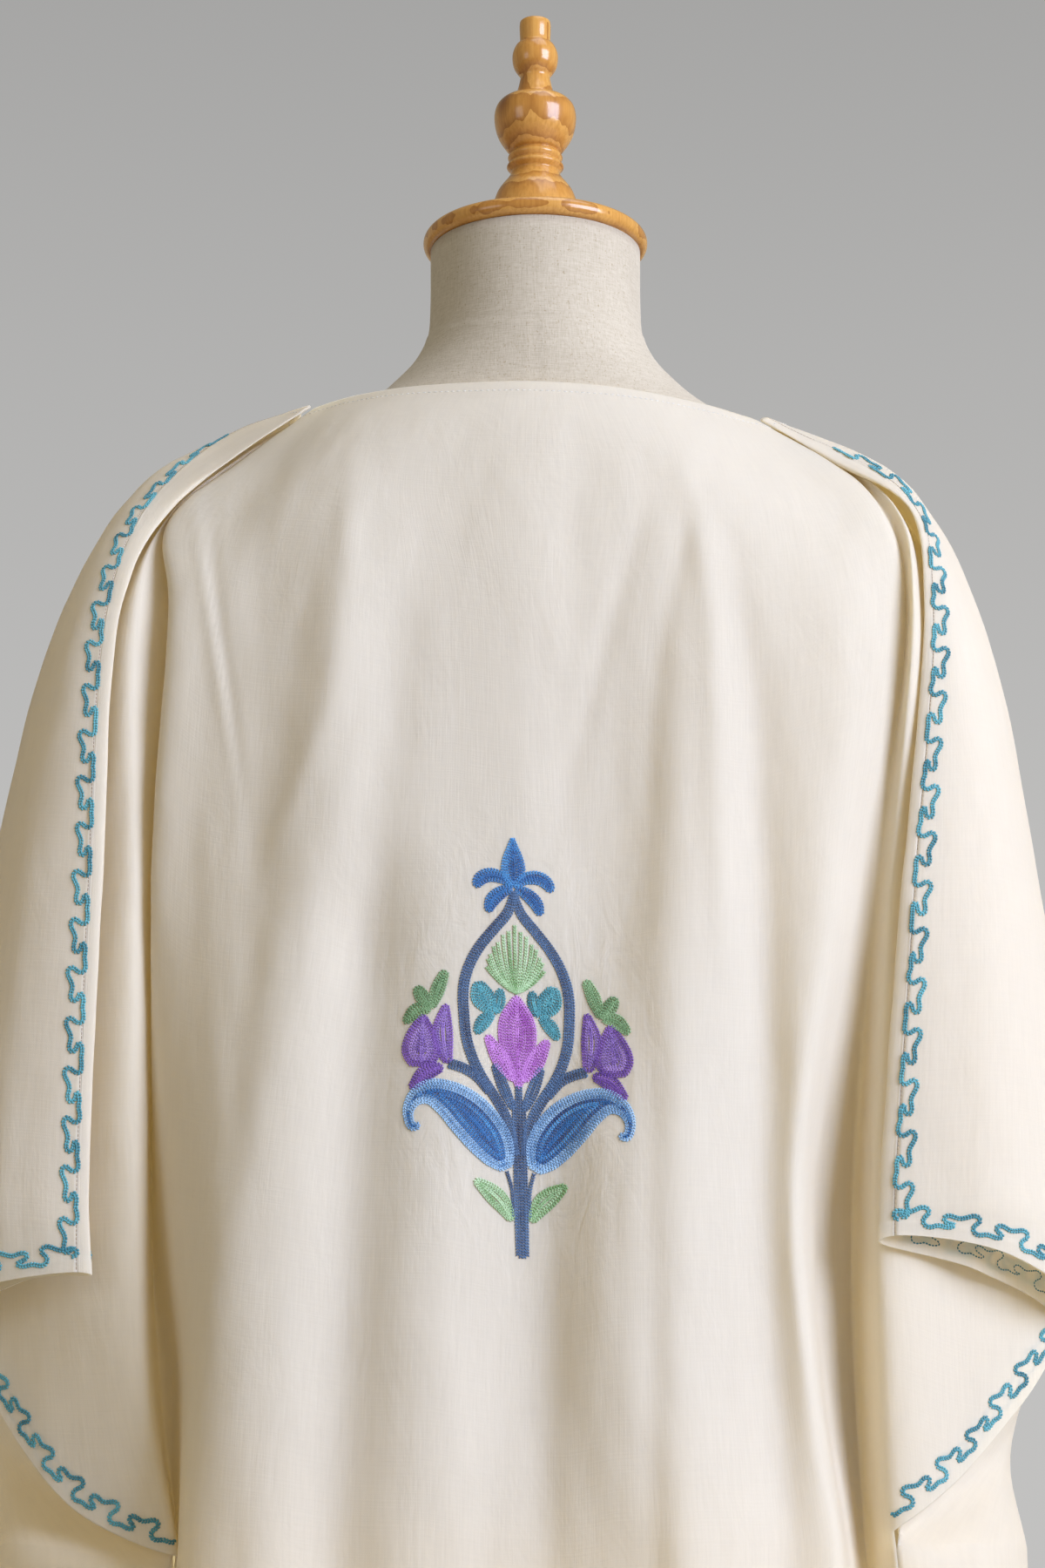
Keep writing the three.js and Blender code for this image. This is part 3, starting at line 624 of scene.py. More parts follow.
def grain_faces():
    """Triangles of one grain: a fan at each tip and a band between its two rings."""
    faces = []
    sides = GRAIN_SIDES
    tip = 1 + 2 * sides
    for k in range(sides):
        n = (k + 1) % sides
        faces += [(0, 1 + n, 1 + k)]
        faces += [(1 + k, 1 + n, 1 + sides + n), (1 + k, 1 + sides + n, 1 + sides + k)]
        faces += [(1 + sides + k, 1 + sides + n, tip)]
    return np.array(faces)


class Stitches:
    """Many small grains of thread, joined in one mesh."""

    def __init__(self, seed):
        self.vertices, self.faces, self.shades, self.slots = [], [], [], []
        self.count = 0
        self.random = np.random.default_rng(seed)

    def add(self, centres, alongs, ups, length, width, height, shades, slot=0):
        """Grains at centres, pointing along, with their tops up."""
        sides = np.cross(ups, alongs)
        rings = []
        angles = 2 * math.pi * np.arange(GRAIN_SIDES) / GRAIN_SIDES + math.pi / 2
        for place, radius in GRAIN:
            spine = centres + alongs * length * place
            if radius == 0:
                rings.append(spine[:, None, :])
            else:
                across = np.cos(angles)[None, :, None] * sides[:, None, :] * width * radius / 2
                upward = np.sin(angles)[None, :, None] * ups[:, None, :] * height * radius / 2
                rings.append(spine[:, None, :] + across + upward)
        block = np.concatenate(rings, axis=1)
        each = block.shape[1]
        pattern = grain_faces()
        starts = self.count + each * np.arange(len(centres))
        self.vertices.append(block.reshape(-1, 3))
        self.faces.append((starts[:, None, None] + pattern[None]).reshape(-1, 3))
        self.shades.append(np.repeat(shades, each))
        self.slots.append(np.full(len(centres) * len(pattern), slot))
        self.count += each * len(centres)

    def chain(self, points, normals, slot=0, width=CHAIN_WIDTH, closed=False, tone=0.0):
        """A row of chain stitch along points on the cloth."""
        at = resample(points, PITCH, closed)
        spots = picked(points, at, closed)
        ups = unit(picked(normals, at, closed))
        ahead = np.roll(spots, -1, axis=0) - spots if closed else np.diff(spots, axis=0)
        if not closed:
            spots, ups = spots[:-1], ups[:-1]
        step = np.linalg.norm(ahead, axis=1, keepdims=True) + 1e-9
        ahead /= step
        side = unit(np.cross(ups, ahead))
        slow = self.random.uniform(0, 6.28)
        walked = np.arange(len(spots)) * PITCH
        short, long = DYE["lengths"]
        waves = np.sin(walked / short + slow) * np.sin(walked / long + 2 * slow)
        shades = 0.5 + tone + DYE["waves"] * waves
        shades = shades + self.random.uniform(-DYE["spread"], DYE["spread"], len(spots))
        length = PITCH * LINK["length"]
        for sign in (-1, 1):
            lean = ahead * math.cos(LINK["lean"]) + sign * side * math.sin(LINK["lean"])
            middle = spots + ahead * step * 0.5 + sign * side * width * LINK["out"] + ups * LINK["lift"]
            self.add(middle, lean, ups, length, width * LINK["width"], LINK["height"], shades, slot)

    def dashes(self, points, normals, pitch, length, width, height, sink=0.0, slot=0):
        """A row of plain stitches along points on the cloth."""
        at = resample(points, pitch)
        spots, ups = picked(points, at), picked(normals, at)
        ahead = unit(np.gradient(spots, axis=0))
        spread = DYE["plain_spread"]
        shades = 0.5 + self.random.uniform(-spread, spread, len(spots))
        self.add(spots - ups * sink, ahead, ups, length, width, height, shades, slot)

    def piece(self, name, materials):
        piece = new_mesh(name, np.concatenate(self.vertices), np.concatenate(self.faces))
        set_attribute(piece, "shade", np.concatenate(self.shades))
        for material in materials:
            piece.data.materials.append(material)
        piece.data.polygons.foreach_set("material_index", np.concatenate(self.slots).astype(np.int32))
        return piece


# ---------- meander ----------
# One repeat of the meander: (along the edge, out from the seam line), from one inner lobe to the next.
MEANDER_REPEAT = 24.4
MEANDER = [
    (0.0, -0.1), (1.2, -1.3), (4.2, -1.8), (7.9, -1.4), (10.3, -2.3), (12.7, -2.6), (14.6, -1.4),
    (15.0, 0.4), (13.7, 2.3), (12.2, 4.2), (13.4, 6.0), (16.0, 6.1), (19.1, 4.5), (22.3, 3.5),
    (25.3, 4.2), (27.8, 4.1), (29.2, 2.7), (28.2, 1.0), (26.0, 0.4),
]
MEANDER_MIDDLE = 1.7  # the line that its lobes swell from
UNEVEN = dict(swell=(0.9, 1.08), shift=0.5)  # how much repeats differ in size, and in place in mm
MEANDER_POINTS = 3  # curve points from one row of the table to the next


def meander_path(length, start, seed):
    """The meander's path over a length, as (along, across), uneven as handwork is."""
    dice = random.Random(seed)
    knots = []
    repeats = max(1, round((length - start) / MEANDER_REPEAT))
    repeat = (length - start) / repeats
    for number in range(repeats):
        swell = dice.uniform(*UNEVEN["swell"])
        shift = dice.uniform(-UNEVEN["shift"], UNEVEN["shift"])
        slip = dice.uniform(-UNEVEN["shift"], UNEVEN["shift"])
        for along, across in MEANDER:
            x = start + number * repeat + along / MEANDER_REPEAT * repeat + slip
            y = MEANDER_MIDDLE + (across - MEANDER_MIDDLE) * swell + shift
            knots.append((x, y))
    knots = np.array(knots)
    places = np.arange(0, (len(knots) - 1) * MEANDER_POINTS + 1) / MEANDER_POINTS
    return curve(knots, np.minimum(places, len(knots) - 1 - 1e-9))


# ---------- the flower spray on the back ----------
# Millimetres: a is out from its middle line, b is up from the stem's foot. It leans a little to the left,
# and is laid on the cloth from this far behind.
SPRAY = dict(foot=(7, 934.5), lean=5 / 208, tilt=0.05, behind=400)
# Colours of the threads: at a row's dark and light places.
THREADS = {
    "navy": ((0.018, 0.045, 0.12), (0.085, 0.17, 0.32)),
    "royal": ((0.005, 0.045, 0.18), (0.025, 0.165, 0.42)),
    "azure": ((0.012, 0.10, 0.32), (0.08, 0.33, 0.64)),
    "sky": ((0.075, 0.21, 0.42), (0.37, 0.58, 0.80)),
    "teal": ((0.018, 0.16, 0.21), (0.12, 0.44, 0.49)),
    "plum": ((0.09, 0.022, 0.25), (0.27, 0.12, 0.47)),
    "violet": ((0.13, 0.05, 0.32), (0.40, 0.24, 0.60)),
    "magenta": ((0.33, 0.06, 0.40), (0.60, 0.26, 0.66)),
    "lime": ((0.19, 0.37, 0.13), (0.49, 0.67, 0.40)),
    "sage": ((0.09, 0.20, 0.07), (0.28, 0.45, 0.22)),
}
TEAL_REVERSE = ((0.015, 0.10, 0.13), (0.06, 0.27, 0.32))
CREAM_THREAD = (0.80, 0.75, 0.66)
# Brown of the line along the top seam: painted shade, the seam's shadow drawn as thread.
SEAM_SHADOW_COLOUR = (0.50, 0.36, 0.22)
# Filled shapes: spine from base to tip, half widths evenly spaced along it, and thread colours from the
# outline inwards. All but the single ones have a mirrored twin.
PETALS = [
    dict(spine=[(0, 181.5), (0, 194), (0, 208)], half=[1.5, 5.0, 6.0, 5.0, 2.8, 0.6],
        threads=["azure", "azure", "royal"], single=True),
    dict(spine=[(0.6, 182.6), (6, 186.6), (12, 187.5), (16.5, 185), (18.5, 180.5)],
        half=[1.6, 3, 3.5, 3.2, 1.8], threads=["azure", "royal"]),
    dict(spine=[(0.4, 181.8), (6.2, 179), (10.8, 174.5), (12.8, 168.5)], half=[1.6, 3.2, 3.4, 1.8],
        threads=["azure", "royal"]),
    dict(spine=[(0, 82), (0, 94), (0, 106), (0, 117), (0, 128.5)], half=[1.0, 6.2, 9.3, 8.2, 0.8],
        threads=["magenta"], single=True),
    dict(spine=[(2, 86), (8.4, 96), (15, 107.5)], half=[1.8, 4.4, 1.8], threads=["magenta"]),
    dict(spine=[(11.5, 118.5), (16, 125.5), (18.5, 133.5)], half=[2.2, 6.0, 2.6], threads=["teal"]),
    dict(spine=[(10.3, 118), (8.4, 124.5), (7.6, 131)], half=[1.4, 3.1, 1.6], threads=["teal"]),
    dict(spine=[(11, 118.5), (16, 114), (20, 107.5)], half=[1.5, 3.5, 1.8], threads=["teal"]),
    dict(spine=[(46.5, 89.5), (46.5, 97), (46, 106), (45, 116)], half=[5.6, 9.4, 7.2, 1.0],
        threads=["plum", "plum", "violet"]),
    dict(spine=[(34, 92), (36, 107), (34, 121.5)], half=[2.6, 5.0, 1.5],
        threads=["plum", "violet", "violet"]),
    dict(spine=[(36, 90), (44, 87), (52, 78.5)], half=[2.0, 4.0, 1.8], threads=["plum"]),
    dict(spine=[(41, 118.5), (38, 128), (34, 138)], half=[1.6, 3.5, 2.2], threads=["sage"]),
    dict(spine=[(41, 118.5), (45.2, 124), (48.5, 129.5)], half=[1.6, 3.7, 2.2], threads=["sage"]),
    dict(spine=[(41, 118.5), (48, 117.5), (54.5, 111)], half=[1.6, 3.8, 1.8], threads=["sage"]),
    dict(spine=[(2.6, 72), (7, 82), (11.5, 94)], half=[1.7, 2.9, 2.0], threads=["navy"]),
    dict(spine=[(4.4, 18), (9.5, 26.5), (15, 31.5), (22.5, 36.5)], half=[1.8, 4.6, 4.4, 1.6],
        threads=["lime"]),
    dict(spine=[(6.5, 43), (10, 49), (15.5, 57.5), (24.5, 67.5), (34, 74.5), (43, 77.2), (50, 74),
        (53.3, 67), (51.2, 60), (47.5, 61.5)], half=[3.2, 8.4, 11.4, 11.6, 9.2, 6.4, 4.0, 2.6, 2.2, 1.9],
        threads=["sky", "sky", "sky", "royal", "azure", "royal"]),
]
# Stems: line, number of rows side by side, and over what length from the top they spread.
STEMS = [
    dict(
        line=[
            (0.3, 180), (3, 169.5), (10, 160.5), (17, 151.5), (21.8, 143), (24.8, 134), (25.8, 126),
            (25.5, 116), (24.6, 105.7), (22, 96), (17.8, 87), (12.2, 78.5), (7.2, 70), (4.3, 61), (2.8, 50),
        ],
        rows=3,
        taper=14,
    ),
    dict(line=[(0.85, 84), (0.85, 40), (0.85, 0.6)], rows=1),
    dict(line=[(2.6, 77), (2.5, 62), (2.5, 20), (2.3, 1.6)], rows=1),
    dict(line=[(33.5, 92), (27, 90.4), (20.5, 87), (14, 80)], rows=3),
    dict(line=[(3.9, 20), (4.3, 33), (6.6, 42)], rows=1),
]
PETAL_STEPS = 80  # places along a petal's spine
MARK_GAP = 20  # from one half width to the next where their curve is drawn
MOST_ROWS = 12
FEWEST = 4  # places of the shortest row
END_ROOM = 0.9  # an inner row stops this share of its inset short of the ends
# An outline with less room inside than this share of a gap becomes a single row. Past that, a last row
# still fills the middle where no more than the second share of a gap is lacking.
SINGLE_ROOM = 0.45
LACKING = 0.6
STEM_STEPS = 12  # places from one point of a stem to the next
TAPER_LEAD = 0.4  # a taper starts this share of its length before the stem's top
# The serrated leaf: ribs each side of its middle, half width, turn of the fan in radians, heights of its
# base and top, how much lower the outer ribs end, how round the top is, and the depth of its teeth.
LEAF = dict(ribs=7, half=14.2, fan=1.45, base=128.5, top=163, droop=21, roundness=1.1, tooth=0.8, steps=24)
LEAF_FOOT = (0.35, 0.25)  # out and up from one rib's foot to the next
LEAF_BEND = (0.3, 0.42)  # how much a rib bows out, and at what share of its height
SPRAY_STEP = 0.8  # distance between the places where a row's path is laid on the cloth


def petal_outline(petal, share):
    """A petal's spine and its half widths, evenly spaced along both tables."""
    places = share * (len(petal["spine"]) - 1 - 1e-9)
    spine = curve(np.array(petal["spine"], float), places)
    marks = np.arange(len(petal["half"]), dtype=float) * MARK_GAP
    widths = np.stack([marks, petal["half"]], axis=1)
    return spine, curve(widths, share * (len(marks) - 1 - 1e-9))[:, 1]


def across_of(path):
    """Unit vectors across a path in the plane."""
    tangent = unit(np.gradient(path, axis=0))
    return np.stack([-tangent[:, 1], tangent[:, 0]], axis=1)


def petal_rows(petal):
    """Rows of stitching of a filled shape, from the outline inwards: (path, closed, thread)."""
    spine, half = petal_outline(petal, np.linspace(0, 1, PETAL_STEPS))
    across = across_of(spine)
    walked = walked_along(spine)
    from_ends = np.minimum(walked, walked[-1] - walked)
    rows = []
    threads = petal["threads"]
    for number in range(MOST_ROWS):
        inset = (number + 0.5) * ROW_GAP
        thread = threads[min(number, len(threads) - 1)]
        clear = from_ends > inset * END_ROOM
        open_part = clear & (half > inset)
        if open_part.sum() < FEWEST:
            core = clear & (half > inset - ROW_GAP * LACKING)
            if core.sum() >= FEWEST:
                rows.append((spine[core], False, thread))
            break
        room = (half - inset)[open_part, None]
        right = spine[open_part] + across[open_part] * room
        left = spine[open_part] - across[open_part] * room
        if room.max() < ROW_GAP * SINGLE_ROOM:
            rows.append((spine[open_part], False, thread))
            break
        rows.append((np.concatenate([right, left[::-1]]), True, thread))
    rows.append((spine[from_ends > ROW_GAP], False, threads[-1]))
    return rows


def stem_rows(stem):
    """A stem's rows side by side. They lie on each other at its top and spread over its taper."""
    line = np.array(stem["line"], float)
    places = np.linspace(0, len(line) - 1 - 1e-9, STEM_STEPS * len(line))
    middle = curve(line, places)
    taper = stem.get("taper", 0)
    spread = np.ones(len(middle))
    if taper:
        spread = smoothstep(walked_along(middle), -TAPER_LEAD * taper, taper)
    across = across_of(middle) * spread[:, None]
    offsets = (np.arange(stem["rows"]) - (stem["rows"] - 1) / 2) * ROW_GAP
    return [(middle + across * offset, False, "navy") for offset in offsets]


def serrated_leaf_rows():
    """A leaf of ribs that fan out from its base, each ending in a tooth of its edge."""
    rows = []
    ribs, base = LEAF["ribs"], LEAF["base"]
    for rib in range(-ribs, ribs + 1):
        share = rib / ribs
        top = LEAF["top"] - LEAF["droop"] * abs(share) ** LEAF["roundness"] - LEAF["tooth"] * (rib % 2)
        tip = (LEAF["half"] * math.sin(share * LEAF["fan"]), top)
        start = (LEAF_FOOT[0] * rib, base + LEAF_FOOT[1] * abs(rib))
        bend = (tip[0] * (1.0 - LEAF_BEND[0] * abs(share)), start[1] + (top - start[1]) * LEAF_BEND[1])
        steps = np.linspace(0, 1, LEAF["steps"])[:, None]
        path = (
            (1 - steps) ** 2 * np.array(start)
            + 2 * steps * (1 - steps) * np.array(bend)
            + steps**2 * np.array(tip)
        )
        rows.append((path, False, "lime"))
    return rows


def spray_rows():
    """All rows of the spray, on both sides of its middle line."""
    rows = serrated_leaf_rows()
    parts = [(stem_rows(stem), False) for stem in STEMS]
    parts += [(petal_rows(petal), petal.get("single")) for petal in PETALS]
    for side in (1, -1):
        for part, single in parts:
            if side == 1 or not single:
                rows += [(path * np.array([side, 1.0]), closed, thread) for path, closed, thread in part]
    return rows


def embroider_spray(tree, materials):
    """Sews the spray's rows on the back panel, whose faces are in the tree."""
    stitches = Stitches(seed=11)
    slots = {name: number for number, name in enumerate(THREADS)}
    foot_x, foot_z = SPRAY["foot"]
    for path, closed, thread in spray_rows():
        at = resample(path, SPRAY_STEP, closed)
        flat = picked(path, at, closed)
        points, normals = [], []
        for a, b in flat:
            spot = (foot_x + a + b * SPRAY["lean"], SPRAY["behind"], foot_z + b + a * SPRAY["tilt"])
            hit, normal, _, _ = tree.ray_cast(Vector(spot) * MM, Vector((0, -1, 0)))
            points.append(hit / MM)
            normals.append(normal)
        points, normals = np.array(points), np.array(normals)
        tone = stitches.random.uniform(-DYE["row_spread"], DYE["row_spread"])
        stitches.chain(points, normals, slots[thread], ROW_WIDTH, closed, tone)
    return stitches.piece("spray_embroidery", [materials[name] for name in THREADS])


# ---------- form and turned wood ----------
# The form's seams: height of the one round the neck, how much it rises and how far out, widths and
# depths of its groove and of the ridge under it, and of the seams down the middle of back and front.
NECK_SEAM = dict(height=1436, rise=8, at=60, width=0.9, depth=0.55, ridge_width=2, ridge=0.5, drop=2.2)
MIDDLE_SEAM = dict(width=0.8, depth=0.45)
# Rings of the torso: height, half width, depth to the back, depth to the front.
TORSO = [
    [790, 176, 106, 102], [800, 181, 110, 105], [860, 182, 112, 108], [920, 174, 106, 108],
    [990, 156, 92, 102], [1060, 142, 80, 96], [1120, 150, 86, 102], [1200, 168, 95, 108],
    [1270, 180, 93, 100], [1310, 183, 85, 88], [1338, 176, 78, 78], [1354, 164.5, 73, 71],
    [1368, 148, 68.5, 67], [1380, 130, 65, 64], [1390, 114, 62.5, 62], [1399, 99, 61, 61],
    [1408, 86, 59.5, 59.5], [1417, 76, 59, 59], [1426, 67.5, 58.5, 58.5], [1436, 61.5, 58, 58],
    [1446, 58, 57.5, 57.5], [1460, 57, 57, 57], [1493.7, 57, 57, 57],
]
# [radius, height above the cap], from the foot to the top knob
FINIAL = [
    [24, 0], [25, 4], [24.5, 11], [23, 18], [20.7, 24.8], [18.1, 28.8], [15, 32.8], [13.2, 36.6],
    [14.3, 38.1], [15.6, 39.7], [14.9, 41.3], [13.6, 42.3], [14.2, 43.3], [15, 45.3], [14, 47.1], [13, 48.1],
    [14.8, 49.3], [16.8, 51.9], [19.8, 56.7], [21.6, 61.7], [22.5, 68.3], [22, 72.9], [20.6, 76.1],
    [17.5, 78.9], [12, 80.1], [10.8, 81.3], [9.8, 84.8], [8.6, 89.8], [8.2, 93.3], [9.4, 94.9],
    [11.7, 98.7], [12.6, 103.7], [12.2, 107.7], [10.4, 111.7], [8.6, 113.3], [8.4, 113.9],
    [8.4, 125.5], [7.6, 126.3],
]
CAP = dict(radius=61, thickness=10, bottom=1494, bevel=4.6)
GAP = 0.3  # between the cap and the finial
AXIS = 0.5  # a profile starts and ends this close to its axis
# Profiles from the foot: (radius, height).
BASE_PROFILE = [(AXIS, 0), (163, 0), (170, 7), (170, 15), (163, 22), (85, 26.5), (34, 30), (AXIS, 30)]
POLE_PROFILE = [
    (AXIS, 30.3), (27, 30.3), (27, 41.3), (16, 52.3), (16, 767.7), (27, 778.7), (27, 789.7), (AXIS, 789.7),
]
RIM_ANGLES = (-60, -30, 0, 30, 60)  # where a disc's rounded rim has points
# Sides round each body of the form.
SIDES = dict(torso=160, cap=160, finial=128, base=160, pole=64)
PROFILE_STEPS = 4  # curve points from one row of a profile to the next
RING_STEPS = 5


def lofted(rings, sides):
    """Grid of points through rings of (height, half width, depth to the back, depth to the front)."""
    knots = np.array(rings, float)
    rings = curve(knots, row_places([RING_STEPS] * (len(knots) - 1)))
    angles = 2 * math.pi * np.arange(sides) / sides
    depth = np.where(np.sin(angles)[None] > 0, rings[:, 2:3], rings[:, 3:4])
    x = rings[:, 1:2] * np.cos(angles)[None]
    y = depth * np.sin(angles)[None]
    z = np.repeat(rings[:, :1], sides, axis=1)
    return np.stack([x, y, z], axis=-1)


def seam_grooves(grid):
    """Sinks the form's sewn seams: round the neck, and down the middle of back and front below it."""
    x, y, z = grid[..., 0], grid[..., 1], grid[..., 2]
    seam = NECK_SEAM["height"] + NECK_SEAM["rise"] * (x / NECK_SEAM["at"]) ** 2
    groove = np.exp(-(((z - seam) / NECK_SEAM["width"]) ** 2))
    ridge = np.exp(-(((z - seam + NECK_SEAM["drop"]) / NECK_SEAM["ridge_width"]) ** 2))
    down = np.exp(-((x / MIDDLE_SEAM["width"]) ** 2)) * (z < seam)
    sink = NECK_SEAM["depth"] * (groove - NECK_SEAM["ridge"] * ridge) + MIDDLE_SEAM["depth"] * down
    outward = unit(np.stack([x, y, 0 * z], axis=-1))
    return grid - outward * sink[..., None]


def capped_grid(name, grid):
    """A closed body from a grid of rings, with a fan of triangles over its foot and its top."""
    rows, sides = grid.shape[:2]
    ids = np.arange(rows * sides).reshape(rows, sides)
    after = np.roll(ids, -1, axis=1)
    quads = np.stack([ids[:-1], after[:-1], after[1:], ids[1:]], axis=-1).reshape(-1, 4)
    vertices = np.concatenate([grid.reshape(-1, 3), [grid[0].mean(axis=0), grid[-1].mean(axis=0)]])
    low, high = len(vertices) - 2, len(vertices) - 1
    fans = [(low, after[0, k], ids[0, k]) for k in range(sides)]
    fans += [(high, ids[-1, k], after[-1, k]) for k in range(sides)]
    piece = bpy.data.objects.new(name, bpy.data.meshes.new(name))
    piece.data.from_pydata((vertices * MM).tolist(), [], quads.tolist() + fans)
    piece.data.polygons.foreach_set("use_smooth", np.ones(len(piece.data.polygons), bool))
    piece.data.update()
    bpy.context.collection.objects.link(piece)
    return piece


def turned(name, profile, sides, sharp=()):
    """A turned body from (radius, height) rows, foot first. Rows numbered in sharp are crisp corners."""
    knots = np.array(profile, float)
    stops = [0, *sharp, len(knots) - 1]
    parts = []
    for first, last in zip(stops[:-1], stops[1:]):
        part = knots[first : last + 1]
        straight = len(part) == 2
        parts.append(part if straight else curve(part, row_places([PROFILE_STEPS] * (len(part) - 1))))
    outline = np.concatenate(parts)
    angles = 2 * math.pi * np.arange(sides) / sides
    x = outline[:, :1] * np.cos(angles)[None]
    y = outline[:, :1] * np.sin(angles)[None]
    z = np.repeat(outline[:, 1:], sides, axis=1)
    return capped_grid(name, np.stack([x, y, z], axis=-1))


def rounded_disc(radius, thickness, bottom, bevel):
    """Profile of a disc with a rounded rim."""
    rows = [(AXIS, bottom), (radius - bevel, bottom)]
    for angle in RIM_ANGLES:
        turn = math.radians(angle)
        height = bottom + thickness / 2 + math.sin(turn) * thickness / 2
        rows.append((radius - bevel + bevel * math.cos(turn), height))
    return rows + [(radius - bevel, bottom + thickness), (AXIS, bottom + thickness)]


# ---------- materials ----------
class Nodes:
    """Adds nodes to a material's tree or the world's, and returns their outputs."""

    def __init__(self, owner):
        owner.use_nodes = True
        self.tree = owner.node_tree

    def node(self, kind, inputs=(), **settings):
        node = self.tree.nodes.new("ShaderNode" + kind)
        for key, value in settings.items():
            setattr(node, key, value)
        for key, value in dict(inputs).items():
            if isinstance(value, bpy.types.NodeSocket):
                self.tree.links.new(value, node.inputs[key])
            else:
                node.inputs[key].default_value = value
        return node

    def coordinates(self, scale, source="Object"):
        texture = self.node("TexCoord").outputs[source]
        return self.node("Mapping", {"Vector": texture, "Scale": scale}).outputs["Vector"]

    def noise(self, stretch, detail=3.0, roughness=0.55, distortion=0.0, scale=1.0, source="Object"):
        """Cloudy noise, finer in each direction by how much the coordinates are stretched."""
        inputs = {"Vector": self.coordinates(stretch, source), "Scale": scale, "Detail": detail}
        inputs |= {"Roughness": roughness, "Distortion": distortion}
        return self.node("TexNoise", inputs).outputs["Fac"]

    def math(self, operation, *values):
        return self.node("Math", dict(enumerate(values)), operation=operation).outputs[0]

    def distance(self, middle, squash):
        """Distance from a middle, with heights squashed."""
        inputs = {0: self.coordinates((1, 1, squash)), 1: middle}
        return self.node("VectorMath", inputs, operation="DISTANCE").outputs["Value"]

    def ramp(self, factor, stops):
        node = self.node("ValToRGB", {"Fac": factor})
        ramp = node.color_ramp
        while len(ramp.elements) < len(stops):
            ramp.elements.new(0.5)
        for element, (place, colour) in zip(ramp.elements, stops):
            element.position = place
            element.color = (*colour, 1)
        return node.outputs["Color"]

    def mix(self, factor, first, second, blend="MIX"):
        node = self.node("Mix", data_type="RGBA", blend_type=blend)
        for socket, value in ((0, factor), (6, first), (7, second)):
            if isinstance(value, bpy.types.NodeSocket):
                self.tree.links.new(value, node.inputs[socket])
            else:
                node.inputs[socket].default_value = (*value, 1) if isinstance(value, tuple) else value
        return node.outputs[2]

    def product(self, first, *others):
        """Colours multiplied with each other."""
        for other in others:
            first = self.mix(1.0, first, other, "MULTIPLY")
        return first


class Shader(Nodes):
    """A material's nodes. Settings are sockets of its Principled BSDF, with _ for each space."""

    def __init__(self, name, roughness, **settings):
        self.material = bpy.data.materials.new(name)
        super().__init__(self.material)
        self.bsdf = self.tree.nodes["Principled BSDF"]
        self.bsdf.inputs["Roughness"].default_value = roughness
        for socket, value in settings.items():
            self.bsdf.inputs[socket.replace("_", " ")].default_value = value

    def colour(self, socket):
        self.tree.links.new(socket, self.bsdf.inputs["Base Color"])

    def bump(self, height, distance, strength=1.0):
        inputs = {"Height": height, "Distance": distance, "Strength": strength}
        if self.bsdf.inputs["Normal"].is_linked:
            inputs["Normal"] = self.bsdf.inputs["Normal"].links[0].from_socket
        self.tree.links.new(self.node("Bump", inputs).outputs["Normal"], self.bsdf.inputs["Normal"])


EVEN = (1, 1, 1)  # noise that isn't stretched


def weave(shader, pitch, source="UV"):
    """Height of a plain weave: threads over and under each other, each a little uneven."""
    wide = shader.noise(EVEN, 2.0, scale=90.0, source=source)
    vector = shader.coordinates((1 / pitch, 1 / pitch, 1), source)
    parts = shader.node("SeparateXYZ", {"Vector": vector})
    wave_x = shader.math("SINE", shader.math("MULTIPLY", parts.outputs["X"], 2 * math.pi))
    wave_y = shader.math("SINE", shader.math("MULTIPLY", parts.outputs["Y"], 2 * math.pi))
    product = shader.math("MULTIPLY", wave_x, wave_y)
    return shader.math("ADD", shader.math("MULTIPLY", product, 0.5), wide)


# Colours are linear. A tone is the place on a ramp and its colour.
LINEN_TONES = [(0.34, (0.49, 0.415, 0.305)), (0.52, (0.565, 0.485, 0.37)), (0.7, (0.625, 0.55, 0.43))]
PINE_TONES = [(0.0, (0.46, 0.195, 0.038)), (0.35, (0.62, 0.29, 0.06)), (0.85, (0.72, 0.37, 0.09))]
FLOOR_TONES = [(0.3, (0.475, 0.45, 0.405)), (0.7, (0.505, 0.48, 0.435))]
KNOT_SQUASH = 0.7  # heights count this much, so the wood's knot is taller than wide
KNOT = (0.0155, 0.0115, 1.5772 * KNOT_SQUASH)  # its middle on the finial, in metres
COTTON = (0.950, 0.934, 0.892)
COTTON_WARM = (0.945, 0.926, 0.874)
GLOW = (0.99, 0.89, 0.65)  # light that comes through the cloth
GLOW_SHARE = 0.55
PUCKER_SQUASH = 0.6  # heights count this much here
PUCKER = (0.008, 0.125, 1.035 * PUCKER_SQUASH)  # middle of the cloth that the spray draws up, in metres
PUCKER_REACH = (0.085, 0.045)  # distances from it where the puckers begin and are full
WEAVE = 0.00062  # two threads of the cotton


